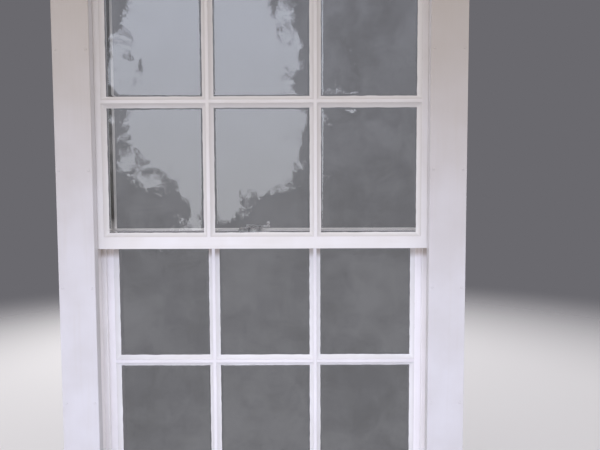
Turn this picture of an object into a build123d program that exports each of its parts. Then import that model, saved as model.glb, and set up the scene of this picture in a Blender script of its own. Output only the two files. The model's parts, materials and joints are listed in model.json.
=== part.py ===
from build123d import *
import math
import os

# Timber sliding sash window in its box frame, hung on cords and weights.
# Millimetres. X across (0 at the centre line), Y inwards from the outside face of
# the outer linings, Z up from the underside of the sill. Left is -X.

# Panes and sash members, as seen from outside
pane_width = 241.0
upper_pane_height = 313.0
lower_pane_height = 300.0
panes_across = 3
panes_high = 2
glazing_bar_width = 26.0
stile_width = 36.0
top_rail_height = 46.0
meeting_rail_height = 39.0
bottom_rail_height = 80.0
sash_thickness = 45.0

# Glazing rebate on the outside, glass and putty
rebate_width = 9.0
rebate_depth = 14.0
glass_thickness = 3.0
glass_bed = 1.0
glass_edge_gap = 2.0
putty_setback = 1.0
putty_edge = 0.5

# Ovolo moulding on the room side
moulding_width = 9.0
moulding_flat = 5.0
moulding_step = 1.5
moulding_quirk = 3.0

# Mortise and tenon joints
tenon_setback = 2.0
tenon_thickness = 15.0
tenon_shoulder = 6.0
rail_bar_tenon = 14.0
mortise_wall = 1.0

# Meeting rails, which close on a splay between the two sashes
meeting_rail_step = 7.0
splay_lean = 5.0
splay_clearance = 0.5
bead_notch_clearance = 1.0

# Running clearances of the sashes
side_clearance = 2.0
face_clearance = 0.8
head_clearance = 0.5
sill_clearance = 0.4

# Boards of the box frame
pulley_stile_thickness = 22.0
outer_lining_thickness = 20.0
inner_lining_thickness = 18.0
back_lining_thickness = 8.0
head_board_thickness = 22.0
head_lining_height = 92.0
lining_overlap = 14.0
lining_arris = 2.0
tongue_length = 6.0
tongue_thickness = 8.0
housing_depth = 8.0
stile_under_staff_bead = 11.0

# Beads
parting_bead_thickness = 9.0
parting_bead_projection = 12.0
parting_bead_groove = 8.0
parting_bead_arris = 1.5
staff_bead_width = 24.0
staff_bead_projection = 15.0
staff_bead_round = 10.0

# Sill
sill_height = 70.0
sill_projection = 35.0
sill_weathering = 8.0
sill_nose_radius = 6.0
sill_under_radius = 3.0
drip_groove_setback = 13.0
drip_groove_width = 8.0
drip_groove_depth = 6.0
mortar_groove_setback = 60.0
mortar_groove_width = 10.0
mortar_groove_depth = 8.0

# Cords, weights and what parts them
cord_diameter = 6.0
cord_proud = 3.5
cord_seat = 0.3
knot_diameter = 14.0
weight_diameter = 38.0
upper_weight_length = 555.0
lower_weight_length = 555.0
weight_edge_radius = 4.0
weight_stile_gap = 3.5
weight_back_gap = 4.5
upper_weight_lift = 40.0
lower_weight_hang = 70.0
weight_hole_diameter = 9.0
weight_hole_depth = 34.0
weight_knot_diameter = 12.0
weight_pocket_width = 15.0
weight_pocket_height = 30.0
parting_slip_thickness = 7.0
parting_slip_play = 1.5
parting_slip_lift = 80.0
pocket_lift = 40.0
pocket_spare = 20.0
pocket_bevel = 10.0
pocket_margin = 4.0
saw_kerf = 0.4

# Cord grooves in the edges of the sash stiles
groove_length = 120.0
groove_play = 5.5
neck_height = 25.0
neck_width = 8.0
knot_pocket_height = 36.0
knot_pocket_width = 20.0
knot_pocket_spare = 4.0
knot_inset = 1.5
cord_bend_radius = 30.0

# Pulleys
pulley_drop = 95.0
wheel_rim_rise = 0.5
wheel_thickness = 12.0
wheel_side_play = 1.0
wheel_recess = 2.5
wheel_hub_radius = 7.0
wheel_rim_thickness = 3.7
axle_diameter = 6.0
axle_clearance = 0.05
axle_head_diameter = 9.0
axle_head_thickness = 1.0
cheek_gap = 0.6
cheek_thickness = 2.0
cheek_margin = 2.0
case_mortise_play = 0.6
faceplate_height = 115.0
faceplate_width = 25.0
faceplate_thickness = 3.0
faceplate_screw_inset = 8.0

# Screws
screw_shank_diameter = 3.5
screw_head_diameter = 7.0
screw_head_depth = 2.2
screw_slot_width = 1.0
screw_slot_depth = 0.8
screw_hole_clearance = 0.05
pulley_screw_length = 16.0
fitting_screw_length = 18.0

# Sash fastener: a base with an arm on the inner rail, a keeper on the outer one
fastener_offset = -34.0
fastener_pivot_setback = 26.4
fastener_plate_length = 60.0
fastener_plate_width = 22.0
fastener_plate_thickness = 2.5
fastener_screw_spacing = 44.0
pivot_boss_diameter = 15.0
pivot_boss_height = 1.8
pivot_pin_diameter = 6.0
pivot_head_diameter = 9.5
pivot_head_height = 1.8
arm_play = 0.2
arm_reach = 44.0
arm_width = 10.0
arm_thickness = 4.0
arm_hub_diameter = 17.0
knob_diameter = 9.0
knob_neck_diameter = 5.0
knob_height = 12.0
crown_flat_radius = 1.0
keeper_length = 62.0
keeper_depth = 20.0
keeper_height = 11.0
keeper_end_slope = 4.0
keeper_front_chamfer = 3.0
keeper_hook_depth = 8.0
keeper_hook_length = 21.0
keeper_post_width = 5.0
keeper_lip_thickness = 3.5
keeper_arm_clearance = 0.5
keeper_screw_spacing = 46.0

# Hook lifts on the bottom rail
lift_spacing = 440.0
lift_rise = 30.0
lift_width = 22.0
lift_metal = 3.0
lift_hook_radius = 9.0
lift_lip = 6.0
lift_plate_height = 42.0
lift_screw_spacing = 16.0

# Glue blocks in the angle over the head board
glue_block_leg = 25.0
glue_block_length = 60.0
glue_block_spacing = 330.0

# Widths across the window
sash_width = (panes_across * pane_width + (panes_across - 1) * glazing_bar_width
              + 2 * stile_width)
sash_edge = sash_width / 2
sight_edge = sash_edge - stile_width
stile_face = sash_edge + side_clearance
stile_back = stile_face + pulley_stile_thickness
lining_edge = stile_face - lining_overlap
weight_axis = stile_back + weight_stile_gap + weight_diameter / 2
back_lining_face = weight_axis + weight_diameter / 2 + weight_back_gap
frame_edge = back_lining_face + back_lining_thickness

# The cord runs down clear of the stile's face on one side and over the weight on the other
cord_line = stile_face - cord_proud
wheel_cord_radius = (weight_axis - cord_line) / 2
wheel_radius = wheel_cord_radius + wheel_rim_rise
axle_line = cord_line + wheel_cord_radius

# Depths through the window, from the outside inwards
upper_front = outer_lining_thickness + face_clearance
upper_back = upper_front + sash_thickness
bead_front = upper_back + face_clearance
bead_back = bead_front + parting_bead_thickness
lower_front = bead_back + face_clearance
lower_back = lower_front + sash_thickness
staff_front = lower_back + face_clearance
inner_lining_front = staff_front + stile_under_staff_bead
inner_lining_back = inner_lining_front + inner_lining_thickness
upper_middle = upper_front + sash_thickness / 2
lower_middle = lower_front + sash_thickness / 2

# Heights
weathering_slope = math.tan(math.radians(sill_weathering))
lower_bottom = sill_height + sill_clearance
lower_sash_height = (bottom_rail_height + panes_high * lower_pane_height
                     + (panes_high - 1) * glazing_bar_width + meeting_rail_height)
upper_sash_height = (meeting_rail_height + panes_high * upper_pane_height
                     + (panes_high - 1) * glazing_bar_width + top_rail_height)
lower_top = lower_bottom + lower_sash_height
upper_bottom = lower_top - meeting_rail_step - meeting_rail_height
upper_top = upper_bottom + upper_sash_height
upper_rail_top = upper_bottom + meeting_rail_height
soffit = upper_top + head_clearance
head_board_top = soffit + head_board_thickness
frame_top = soffit - lining_overlap + head_lining_height
axle_height = soffit - pulley_drop
housing_floor = sill_height - (staff_front + sill_projection) * weathering_slope

# Sizes that follow from the joints and grooves
groove_depth = cord_proud + cord_diameter / 2 - side_clearance + groove_play
groove_width = wheel_thickness + 2 * wheel_side_play
knot_pocket_depth = knot_diameter + knot_pocket_spare
scribe_reach = max(rebate_width, moulding_width)
rail_tenon_length = stile_width - scribe_reach - groove_depth - mortise_wall
bar_core_width = glazing_bar_width - 2 * scribe_reach
cross_bar_tenon = bar_core_width / 2 - mortise_wall
tenon_front = rebate_depth + tenon_setback
case_half_width = wheel_thickness / 2 + cheek_gap + cheek_thickness
cheek_radius = wheel_radius + cheek_margin

# Level pieces are drawn with height along x and depth along y, then run along X
level = Plane((0, 0, 0), x_dir=(0, 0, 1), z_dir=(-1, 0, 0))
ACROSS = (1, 0, 0)
INWARDS = (0, 1, 0)
UPWARDS = (0, 0, 1)

os.makedirs("parts", exist_ok=True)


def board(x0, x1, y0, y1, z0, z1):
    """A rectangular board between two corners."""
    centre = Pos((x0 + x1) / 2, (y0 + y1) / 2, (z0 + z1) / 2)
    return centre * Box(abs(x1 - x0), abs(y1 - y0), abs(z1 - z0))


def outline(*points):
    """A flat face with straight sides through the points."""
    return make_face(Polyline(*points, close=True))


def run_up(section, z0, z1):
    """An upright piece from its section in X and Y."""
    return extrude(Pos(0, 0, z0) * section, amount=z1 - z0, dir=UPWARDS)


def run_across(section, x0, x1):
    """A level piece from its section in height and depth."""
    return extrude(Pos(x0, 0, 0) * (level * section), amount=x1 - x0, dir=ACROSS)


def run_inwards(section, y0, y1):
    """A piece from its elevation in X and Z."""
    return extrude(Pos(0, y0, 0) * (Plane.XZ * section), amount=y1 - y0, dir=INWARDS)


def save(name, *pieces):
    """Write one sub-part, of one solid or a group of like solids."""
    solids = [solid for piece in pieces for solid in piece.solids()]
    export_step(Compound(solids), f"parts/{name}.step")


def screw(length, clearance=0.0):
    """A slotted countersunk screw, head upwards at the origin."""
    shank = screw_shank_diameter / 2 + clearance
    head = screw_head_diameter / 2 + clearance
    profile = outline(
        (0, 0), (head, 0), (shank, -screw_head_depth), (shank, -length), (0, -length - shank)
    )
    body = revolve(Plane.XZ * profile, axis=Axis.Z)
    if clearance:
        return body
    slot = Box(screw_head_diameter + 1, screw_slot_width, 2 * screw_slot_depth)
    return body - slot


# Sash members


def glazed_edge(sight, outward, moulded=True):
    """The rebate and the moulding of one edge, from the outside face to the room face."""
    wall = sight - outward * rebate_width
    lip = sight - outward * moulding_step
    nose = sight - outward * moulding_width
    flat_end = rebate_depth + moulding_flat
    round_end = sash_thickness - moulding_quirk
    rebate = [
        Line((wall, 0), (wall, rebate_depth)),
        Line((wall, rebate_depth), (sight, rebate_depth)),
    ]
    if not moulded:
        return rebate + [Line((sight, rebate_depth), (sight, sash_thickness))]
    half_turn = math.sqrt(0.5)
    crown = (
        nose + (lip - nose) * half_turn,
        flat_end + (round_end - flat_end) * half_turn,
    )
    return rebate + [
        Line((sight, rebate_depth), (sight, flat_end)),
        Line((sight, flat_end), (lip, flat_end)),
        ThreePointArc((lip, flat_end), crown, (nose, round_end)),
        Line((nose, round_end), (nose, sash_thickness)),
    ]


def plain_edge(at):
    """A square edge of a sash member."""
    return [Line((at, 0), (at, sash_thickness))]


def member_section(low_edge, high_edge):
    """The section of a sash member between its two edges."""
    front = Line(low_edge[0] @ 0, high_edge[0] @ 0)
    back = Line(low_edge[-1] @ 1, high_edge[-1] @ 1)
    return make_face([*low_edge, *high_edge, front, back])


def tenon(x0, x1, z0, z1, front):
    """A tenon through the middle of the sash's thickness."""
    return board(x0, x1, front + tenon_front, front + tenon_front + tenon_thickness, z0, z1)


def pane_and_putty(x0, z0, height, front):
    """One pane in its rebate, and the putty that beds it and bevels to the sight line."""
    x1 = x0 + pane_width
    z1 = z0 + height
    lap = rebate_width - glass_edge_gap
    glass_front = front + rebate_depth - glass_bed - glass_thickness
    glass = board(x0 - lap, x1 + lap, glass_front, glass_front + glass_thickness,
                  z0 - lap, z1 + lap)
    bevel_front = front + putty_setback
    bevel_back = glass_front - putty_edge
    block = board(x0 - rebate_width, x1 + rebate_width, bevel_front, front + rebate_depth,
                  z0 - rebate_width, z1 + rebate_width)
    sight = board(x0, x1, bevel_front, front + rebate_depth, z0, z1)
    splay_x = run_up(outline((x0, bevel_back), (x0 - rebate_width, bevel_front),
                             (x1 + rebate_width, bevel_front), (x1, bevel_back)),
                     z0 - rebate_width, z1 + rebate_width)
    splay_z = run_across(outline((z0, bevel_back), (z0 - rebate_width, bevel_front),
                                 (z1 + rebate_width, bevel_front), (z1, bevel_back)),
                         x0 - rebate_width, x1 + rebate_width)
    return glass, block - sight - (splay_x & splay_z) - glass


def make_sash(front, bottom, low_rail, low_moulded, high_rail, pane_height, foot=0.0):
    """All members, panes and putty of one sash. The foot is spare length for a bevelled bottom."""
    low_sight = bottom + low_rail
    high_sight = low_sight + panes_high * pane_height + (panes_high - 1) * glazing_bar_width
    top = high_sight + high_rail
    pitch_x = pane_width + glazing_bar_width
    pitch_z = pane_height + glazing_bar_width
    reach_x = sight_edge + scribe_reach
    columns = [-sight_edge + i * pitch_x for i in range(panes_across)]
    rows = [low_sight + i * pitch_z for i in range(panes_high)]

    # Stiles run the full height, and the rails are scribed over their moulding
    left_section = Pos(-sash_edge, front) * member_section(
        plain_edge(0), glazed_edge(stile_width, 1))
    right_section = Pos(sight_edge, front) * member_section(
        glazed_edge(0, -1), plain_edge(stile_width))
    left = run_up(left_section, bottom - foot, top)
    right = run_up(right_section, bottom - foot, top)

    low_section = Pos(bottom, front) * member_section(
        plain_edge(-foot), glazed_edge(low_rail, 1, low_moulded))
    high_section = Pos(high_sight, front) * member_section(
        glazed_edge(0, -1), plain_edge(high_rail))
    low = run_across(low_section, -reach_x, reach_x)
    high = run_across(high_section, -reach_x, reach_x)

    # Upright bars run from rail to rail, and cross bars fit between them
    bar_section = member_section(glazed_edge(0, -1), glazed_edge(glazing_bar_width, 1))
    uprights = []
    for column in columns[1:]:
        section = Pos(column - glazing_bar_width, front) * bar_section
        uprights.append(run_up(section, low_sight - scribe_reach, high_sight + scribe_reach))
    crosses = []
    for row in rows[1:]:
        for column in columns:
            section = Pos(row - glazing_bar_width, front) * bar_section
            crosses.append(run_across(section, column - scribe_reach,
                                      column + pane_width + scribe_reach))

    # Tenons, each let into a mortise of its own size
    low_tenons = []
    high_tenons = []
    for side in (-1, 1):
        root = side * sight_edge
        tip = side * (reach_x + rail_tenon_length)
        low_tenons.append(tenon(root, tip, bottom + tenon_shoulder,
                                low_sight - rebate_width - tenon_shoulder / 2, front))
        high_tenons.append(tenon(root, tip, high_sight + rebate_width + tenon_shoulder / 2,
                                 top - tenon_shoulder, front))
    upright_tenons = []
    for column in columns[1:]:
        middle = column - glazing_bar_width / 2
        for root, tip in ((low_sight, low_sight - scribe_reach - rail_bar_tenon),
                          (high_sight, high_sight + scribe_reach + rail_bar_tenon)):
            upright_tenons.append(tenon(middle - bar_core_width / 2, middle + bar_core_width / 2,
                                        min(root, tip), max(root, tip), front))
    cross_tenons = []
    for row in rows[1:]:
        middle = row - glazing_bar_width / 2
        for column in columns:
            for root, tip in ((column, column - scribe_reach - cross_bar_tenon),
                              (column + pane_width,
                               column + pane_width + scribe_reach + cross_bar_tenon)):
                cross_tenons.append(tenon(root, tip, middle - bar_core_width / 2,
                                          middle + bar_core_width / 2, front))

    cross_pieces = []
    for index, cross in enumerate(crosses):
        cut = cross - [left, right, *uprights]
        cross_pieces.append(cut + cross_tenons[2 * index:2 * index + 2])
    upright_pieces = []
    for index, upright in enumerate(uprights):
        cut = upright - [low, high]
        upright_pieces.append(cut + upright_tenons[2 * index:2 * index + 2] - cross_tenons)
    low_piece = (low - [left, right]) + low_tenons - upright_tenons
    high_piece = (high - [left, right]) + high_tenons - upright_tenons
    mortises = [*low_tenons, *high_tenons, *cross_tenons]

    panes = []
    putty = []
    for row in rows:
        for column in columns:
            glass, ring = pane_and_putty(column, row, pane_height, front)
            panes.append(glass)
            putty.append(ring)
    return {
        "stile_left": left - mortises,
        "stile_right": right - mortises,
        "low_rail": low_piece,
        "high_rail": high_piece,
        "upright_bars": upright_pieces,
        "cross_bars": cross_pieces,
        "panes": panes,
        "putty": putty,
    }


def cord_groove(side, middle, top):
    """The groove, neck and knot pocket that hold a cord's end in the edge of a sash stile."""
    edge = side * (sash_edge + 1)
    floor = side * (sash_edge - groove_depth)
    pocket_floor = side * (sash_edge - knot_pocket_depth)
    neck_top = top - groove_length
    pocket_top = neck_top - neck_height
    groove = board(floor, edge, middle - groove_width / 2, middle + groove_width / 2,
                   neck_top, top + 1)
    neck = board(pocket_floor, edge, middle - neck_width / 2, middle + neck_width / 2,
                 pocket_top, neck_top)
    pocket = board(pocket_floor, edge, middle - knot_pocket_width / 2,
                   middle + knot_pocket_width / 2, pocket_top - knot_pocket_height, pocket_top)
    return [groove, neck, pocket]


def splay_line(z, clearance):
    """The depth at which the meeting rails close, leaning outwards towards the top."""
    middle = (upper_back + lower_front) / 2
    fall = (lower_top - z) / (lower_top - upper_bottom) - 0.5
    return middle + splay_lean * fall + clearance


def upper_splay():
    """The part of the outer meeting rail that reaches into the gap of the parting bead."""
    low = splay_line(upper_bottom, -splay_clearance / 2)
    high = splay_line(upper_rail_top, -splay_clearance / 2)
    section = outline((upper_bottom, upper_back), (upper_bottom, low),
                      (upper_rail_top, high), (upper_rail_top, upper_back))
    half = stile_face - parting_bead_projection - bead_notch_clearance
    return run_across(section, -half, half)


def lower_splay():
    """The part of the inner meeting rail that closes against the outer one."""
    foot = lower_top - meeting_rail_height + rebate_width
    low = splay_line(foot, splay_clearance / 2)
    high = splay_line(lower_top, splay_clearance / 2)
    section = outline((foot, lower_front), (foot, low), (lower_top, high),
                      (lower_top, lower_front))
    half = stile_face - parting_bead_projection - bead_notch_clearance
    return run_across(section, -half, half)


def sill_surface(y, lift=0.0):
    """Height of the weathered top of the sill at a depth."""
    return sill_height - max(0.0, staff_front - y) * weathering_slope + lift


def build_sashes():
    """Both sashes, with their cord grooves, splays and the bevelled foot."""
    upper = make_sash(upper_front, upper_bottom, meeting_rail_height, False,
                      top_rail_height, upper_pane_height)
    foot = sash_thickness * weathering_slope + face_clearance
    lower = make_sash(lower_front, lower_bottom, bottom_rail_height, True,
                      meeting_rail_height, lower_pane_height, foot)
    for side, name in ((-1, "stile_left"), (1, "stile_right")):
        upper[name] = upper[name] - cord_groove(side, upper_middle, upper_top)
        lower[name] = lower[name] - cord_groove(side, lower_middle, lower_top)
    upper["low_rail"] = upper["low_rail"] + upper_splay()
    lower["high_rail"] = lower["high_rail"] + lower_splay()

    under_foot = run_across(
        outline((0, lower_front - 1), (sill_surface(lower_front - 1, sill_clearance), lower_front - 1),
                (sill_surface(lower_back, sill_clearance), lower_back),
                (sill_surface(lower_back, sill_clearance), lower_back + 1), (0, lower_back + 1)),
        -sash_edge - 1, sash_edge + 1)
    for name in ("stile_left", "stile_right", "low_rail"):
        lower[name] = lower[name] - under_foot
    return upper, lower


# Box frame


def sill_section():
    """Weathered top, rounded nose, drip groove and mortar groove."""
    nose = -sill_projection
    section = outline((0, nose), (sill_surface(nose), nose), (sill_height, staff_front),
                      (sill_height, inner_lining_back), (0, inner_lining_back))
    front = section.vertices().group_by(Axis.Y)[0].sort_by(Axis.X)
    section = fillet(front[1], sill_nose_radius)
    front = section.vertices().group_by(Axis.Y)[0].sort_by(Axis.X)
    section = fillet(front[0], sill_under_radius)
    for start, width, depth in (
        (nose + drip_groove_setback, drip_groove_width, drip_groove_depth),
        (mortar_groove_setback, mortar_groove_width, mortar_groove_depth),
    ):
        section = section - Pos(0, start + width / 2) * Rectangle(2 * depth, width)
    return section


def pulley_stile(side):
    """A stile with its two tongues, before its grooves and mortises."""
    face = side * stile_face
    back = side * stile_back
    top = soffit + housing_depth
    body = board(face, back, outer_lining_thickness, inner_lining_front, housing_floor, top)
    tongue_face = side * (stile_face + (pulley_stile_thickness - tongue_thickness) / 2)
    tongue_back = tongue_face + side * tongue_thickness
    tongues = board(tongue_face, tongue_back, outer_lining_thickness - tongue_length,
                    inner_lining_front + tongue_length, housing_floor, soffit)
    return body + tongues


def pocket_piece(side, kerf=0.0):
    """The loose length of the stile through which a weight is put in, bevelled at both ends."""
    low = sill_height + pocket_lift
    high = low + max(upper_weight_length, lower_weight_length) + pocket_spare + kerf
    elevation = outline((side * stile_face, low), (side * stile_back, low + pocket_bevel),
                        (side * stile_back, high + pocket_bevel), (side * stile_face, high))
    return run_inwards(elevation, bead_back + pocket_margin - kerf,
                       lower_back - pocket_margin + kerf)


def parting_bead(side):
    """An upright parting bead, set in its groove, with eased arrises."""
    nose = side * (stile_face - parting_bead_projection)
    root = side * (stile_face + parting_bead_groove)
    section = Pos((nose + root) / 2, (bead_front + bead_back) / 2) * Rectangle(
        abs(root - nose), parting_bead_thickness)
    corners = section.vertices().sort_by(Axis.X)
    section = fillet(corners[:2] if side > 0 else corners[-2:], parting_bead_arris)
    return run_up(section, housing_floor, soffit)


def parting_bead_head():
    """The parting bead under the head board, between the two upright ones."""
    half = stile_face - parting_bead_projection
    section = Pos(soffit + (parting_bead_groove - parting_bead_projection) / 2,
                  (bead_front + bead_back) / 2) * Rectangle(
        parting_bead_groove + parting_bead_projection, parting_bead_thickness)
    section = fillet(section.vertices().sort_by(Axis.X)[:2], parting_bead_arris)
    return run_across(section, -half, half)


def staff_section(face, inward):
    """Staff bead with its round towards the room. The first coordinate runs across the opening."""
    crest = face + inward * staff_bead_projection
    back = staff_front + staff_bead_width
    shoulder = crest - inward * staff_bead_round
    turn = staff_bead_round * (1 - math.sqrt(0.5))
    return make_face([
        Line((face, staff_front), (crest, staff_front)),
        Line((crest, staff_front), (crest, back - staff_bead_round)),
        ThreePointArc((crest, back - staff_bead_round), (crest - inward * turn, back - turn),
                      (shoulder, back)),
        Line((shoulder, back), (face, back)),
        Line((face, back), (face, staff_front)),
    ])


def staff_beads():
    """Four staff beads, mitred at the corners of the opening."""
    depth = (staff_front - 1, staff_front + staff_bead_width + 1)
    low, high, edge, rise = sill_height, soffit, stile_face, staff_bead_projection
    left = run_up(staff_section(-edge, 1), low, high) & run_inwards(
        outline((-edge, low), (-edge, high), (rise - edge, high - rise), (rise - edge, low + rise)),
        *depth)
    right = run_up(staff_section(edge, -1), low, high) & run_inwards(
        outline((edge, low), (edge, high), (edge - rise, high - rise), (edge - rise, low + rise)),
        *depth)
    head = run_across(staff_section(high, -1), -edge, edge) & run_inwards(
        outline((-edge, high), (edge, high), (edge - rise, high - rise), (rise - edge, high - rise)),
        *depth)
    sill = run_across(staff_section(low, 1), -edge, edge) & run_inwards(
        outline((-edge, low), (edge, low), (edge - rise, low + rise), (rise - edge, low + rise)),
        *depth)
    return left, right, head, sill


def head_board():
    """The head board, with tongues into the head linings between the side linings."""
    body = board(-frame_edge, frame_edge, outer_lining_thickness, inner_lining_front,
                 soffit, head_board_top)
    middle = (soffit + head_board_top) / 2
    tongues = board(-lining_edge, lining_edge, outer_lining_thickness - tongue_length,
                    inner_lining_front + tongue_length,
                    middle - tongue_thickness / 2, middle + tongue_thickness / 2)
    return body + tongues


def outer_lining(side):
    """An upright outer lining, its front arris eased where it meets the daylight."""
    edge = side * lining_edge
    section = Pos(side * (lining_edge + frame_edge) / 2, outer_lining_thickness / 2) * Rectangle(
        frame_edge - lining_edge, outer_lining_thickness)
    front = section.vertices().group_by(Axis.Y)[0].sort_by(Axis.X)
    section = fillet(front[0] if side > 0 else front[1], lining_arris)
    return run_up(section, housing_floor, frame_top)


def outer_lining_head():
    """The outer lining over the head, between the upright ones."""
    middle = soffit - lining_overlap + head_lining_height / 2
    section = Pos(middle, outer_lining_thickness / 2) * Rectangle(
        head_lining_height, outer_lining_thickness)
    low = section.vertices().group_by(Axis.Y)[0].sort_by(Axis.X)[0]
    section = fillet(low, lining_arris)
    return run_across(section, -lining_edge, lining_edge)


def glue_blocks():
    """Three-cornered blocks over the head board, against both head linings."""
    blocks = []
    for face, inward in ((outer_lining_thickness, 1), (inner_lining_front, -1)):
        section = outline((head_board_top, face), (head_board_top + glue_block_leg, face),
                          (head_board_top, face + inward * glue_block_leg))
        for middle in (-glue_block_spacing, 0.0, glue_block_spacing):
            blocks.append(run_across(section, middle - glue_block_length / 2,
                                     middle + glue_block_length / 2))
    return blocks


def parting_slip(side):
    """The loose board that keeps the two weights of one box apart, hung from the head."""
    middle = (bead_front + bead_back) / 2
    return board(side * (stile_back + parting_slip_play),
                 side * (back_lining_face - parting_slip_play),
                 middle - parting_slip_thickness / 2, middle + parting_slip_thickness / 2,
                 sill_height + parting_slip_lift, soffit)


# Pulleys, cords and weights


def wheel(side, middle):
    """A grooved wheel with a hub, a thin web and a rim."""
    half = wheel_thickness / 2
    bore = axle_diameter / 2 + axle_clearance
    groove = cord_diameter / 2 + cord_seat
    web_outer = wheel_cord_radius - groove - wheel_rim_thickness
    section = Pos((bore + wheel_radius) / 2, 0) * Rectangle(wheel_radius - bore, wheel_thickness)
    section = section - Pos(wheel_cord_radius, 0) * Circle(groove)
    for face in (-half, half):
        section = section - Pos((wheel_hub_radius + web_outer) / 2, face) * Rectangle(
            web_outer - wheel_hub_radius, 2 * wheel_recess)
    return Pos(side * axle_line, middle, axle_height) * revolve(section, axis=Axis.Y)


def pulley_case(side, middle):
    """A cast case: a round-ended faceplate let into the stile, and two cheeks for the axle."""
    plate_face = side * stile_face
    plate_back = plate_face + side * faceplate_thickness
    plate = extrude(
        Pos(plate_face, middle, axle_height) * (Plane.YZ * SlotOverall(
            faceplate_height, faceplate_width, rotation=90)),
        amount=faceplate_thickness, dir=(side, 0, 0))
    gap = wheel_thickness / 2 + cheek_gap
    window = board(plate_face, plate_back, middle - gap, middle + gap,
                   axle_height - cheek_radius, axle_height + cheek_radius)
    cheek_side = Pos(side * axle_line, axle_height) * Circle(cheek_radius)
    cheek_side = cheek_side + Pos(side * (stile_face + axle_line) / 2, axle_height) * Rectangle(
        axle_line - stile_face, 2 * cheek_radius)
    cheeks = run_inwards(cheek_side, middle - case_half_width, middle + case_half_width)
    cheeks = cheeks - run_inwards(cheek_side, middle - gap, middle + gap)
    proud = board(plate_face - side * cheek_radius, plate_face,
                  middle - case_half_width, middle + case_half_width,
                  axle_height - cheek_radius, axle_height + cheek_radius)
    hole = Pos(side * axle_line, middle, axle_height) * Rotation(90, 0, 0) * Cylinder(
        axle_diameter / 2 + axle_clearance, 4 * case_half_width)
    return plate + (cheeks - proud) - window - hole


def pulley_plate_block(side, middle):
    """What the faceplate takes out of the stile."""
    return extrude(
        Pos(side * stile_face, middle, axle_height) * (Plane.YZ * SlotOverall(
            faceplate_height, faceplate_width, rotation=90)),
        amount=faceplate_thickness, dir=(side, 0, 0))


def case_mortise(side, middle):
    """The hole through the stile for the cheeks and the axle heads."""
    half = case_half_width + axle_clearance + axle_head_thickness + case_mortise_play
    return board(side * stile_face, side * (stile_back + 1), middle - half, middle + half,
                 axle_height - cheek_radius - case_mortise_play,
                 axle_height + cheek_radius + case_mortise_play)


def pulley_axle(side, middle):
    """The pin that the wheel turns on, headed over both cheeks."""
    half = case_half_width + axle_clearance
    pin = Cylinder(axle_diameter / 2, 2 * half)
    heads = [Pos(0, 0, end * (half + axle_head_thickness / 2)) * Cylinder(
        axle_head_diameter / 2, axle_head_thickness) for end in (-1, 1)]
    return Pos(side * axle_line, middle, axle_height) * Rotation(90, 0, 0) * (pin + heads)


def pulley_screw_places(side, middle):
    """Where the two screws of one faceplate sit, heads towards the sash."""
    offset = faceplate_height / 2 - faceplate_screw_inset
    return [Pos(side * stile_face, middle, axle_height + end * offset) * Rotation(0, -side * 90, 0)
            for end in (-1, 1)]


def knot_height(top):
    """Height of the knot in the edge of a sash whose top is given."""
    return top - groove_length - neck_height - cord_seat - knot_diameter / 2


def weight_knot_drop():
    """How far the knot hangs under the roof of the weight's pocket."""
    reach = weight_knot_diameter / 2 + cord_seat
    rim = weight_hole_diameter / 2
    return math.sqrt(reach ** 2 - rim ** 2)


def cord(side, middle, sash_top, weight_top):
    """A sash cord from the knot in the sash, over the wheel, to the knot in the weight."""
    sash_knot = (side * (sash_edge - knot_inset - knot_diameter / 2), knot_height(sash_top))
    neck_top = (side * cord_line, sash_top - groove_length)
    sash_side = (side * cord_line, axle_height)
    crest = (side * axle_line, axle_height + wheel_cord_radius)
    weight_side = (side * weight_axis, axle_height)
    weight_knot = (side * weight_axis, weight_top - weight_hole_depth - weight_knot_drop())
    path = Wire([
        *FilletPolyline(sash_knot, neck_top, sash_side, radius=cord_bend_radius).edges(),
        *ThreePointArc(sash_side, crest, weight_side).edges(),
        *Line(weight_side, weight_knot).edges(),
    ])
    path = Pos(0, middle, 0) * (Plane.XZ * path)
    tube = sweep(Plane(path @ 0, z_dir=path % 0) * Circle(cord_diameter / 2), path=path)
    knots = [
        Pos(sash_knot[0], middle, sash_knot[1]) * Sphere(knot_diameter / 2),
        Pos(weight_knot[0], middle, weight_knot[1]) * Sphere(weight_knot_diameter / 2),
    ]
    return tube + knots


def weight(side, middle, top, length):
    """A cast-iron weight with a hole down its top and a side pocket for the cord's knot."""
    body = Cylinder(weight_diameter / 2, length, align=(Align.CENTER, Align.CENTER, Align.MAX))
    body = fillet(body.edges().filter_by(GeomType.CIRCLE), weight_edge_radius)
    hole = Cylinder(weight_hole_diameter / 2, weight_hole_depth + 1,
                    align=(Align.CENTER, Align.CENTER, Align.MAX))
    pocket = board(-weight_pocket_width / 2, weight_pocket_width / 2, -weight_diameter,
                   weight_pocket_width / 2, -weight_hole_depth - weight_pocket_height,
                   -weight_hole_depth)
    return Pos(side * weight_axis, middle, top) * (body - hole - pocket)


# Fittings


plate_top = lower_top + fastener_plate_thickness
boss_top = plate_top + pivot_boss_height
arm_bottom = boss_top + arm_play
arm_top = arm_bottom + arm_thickness
pivot_depth = lower_back - fastener_pivot_setback
pivot = Pos(fastener_offset, pivot_depth, 0)


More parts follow.
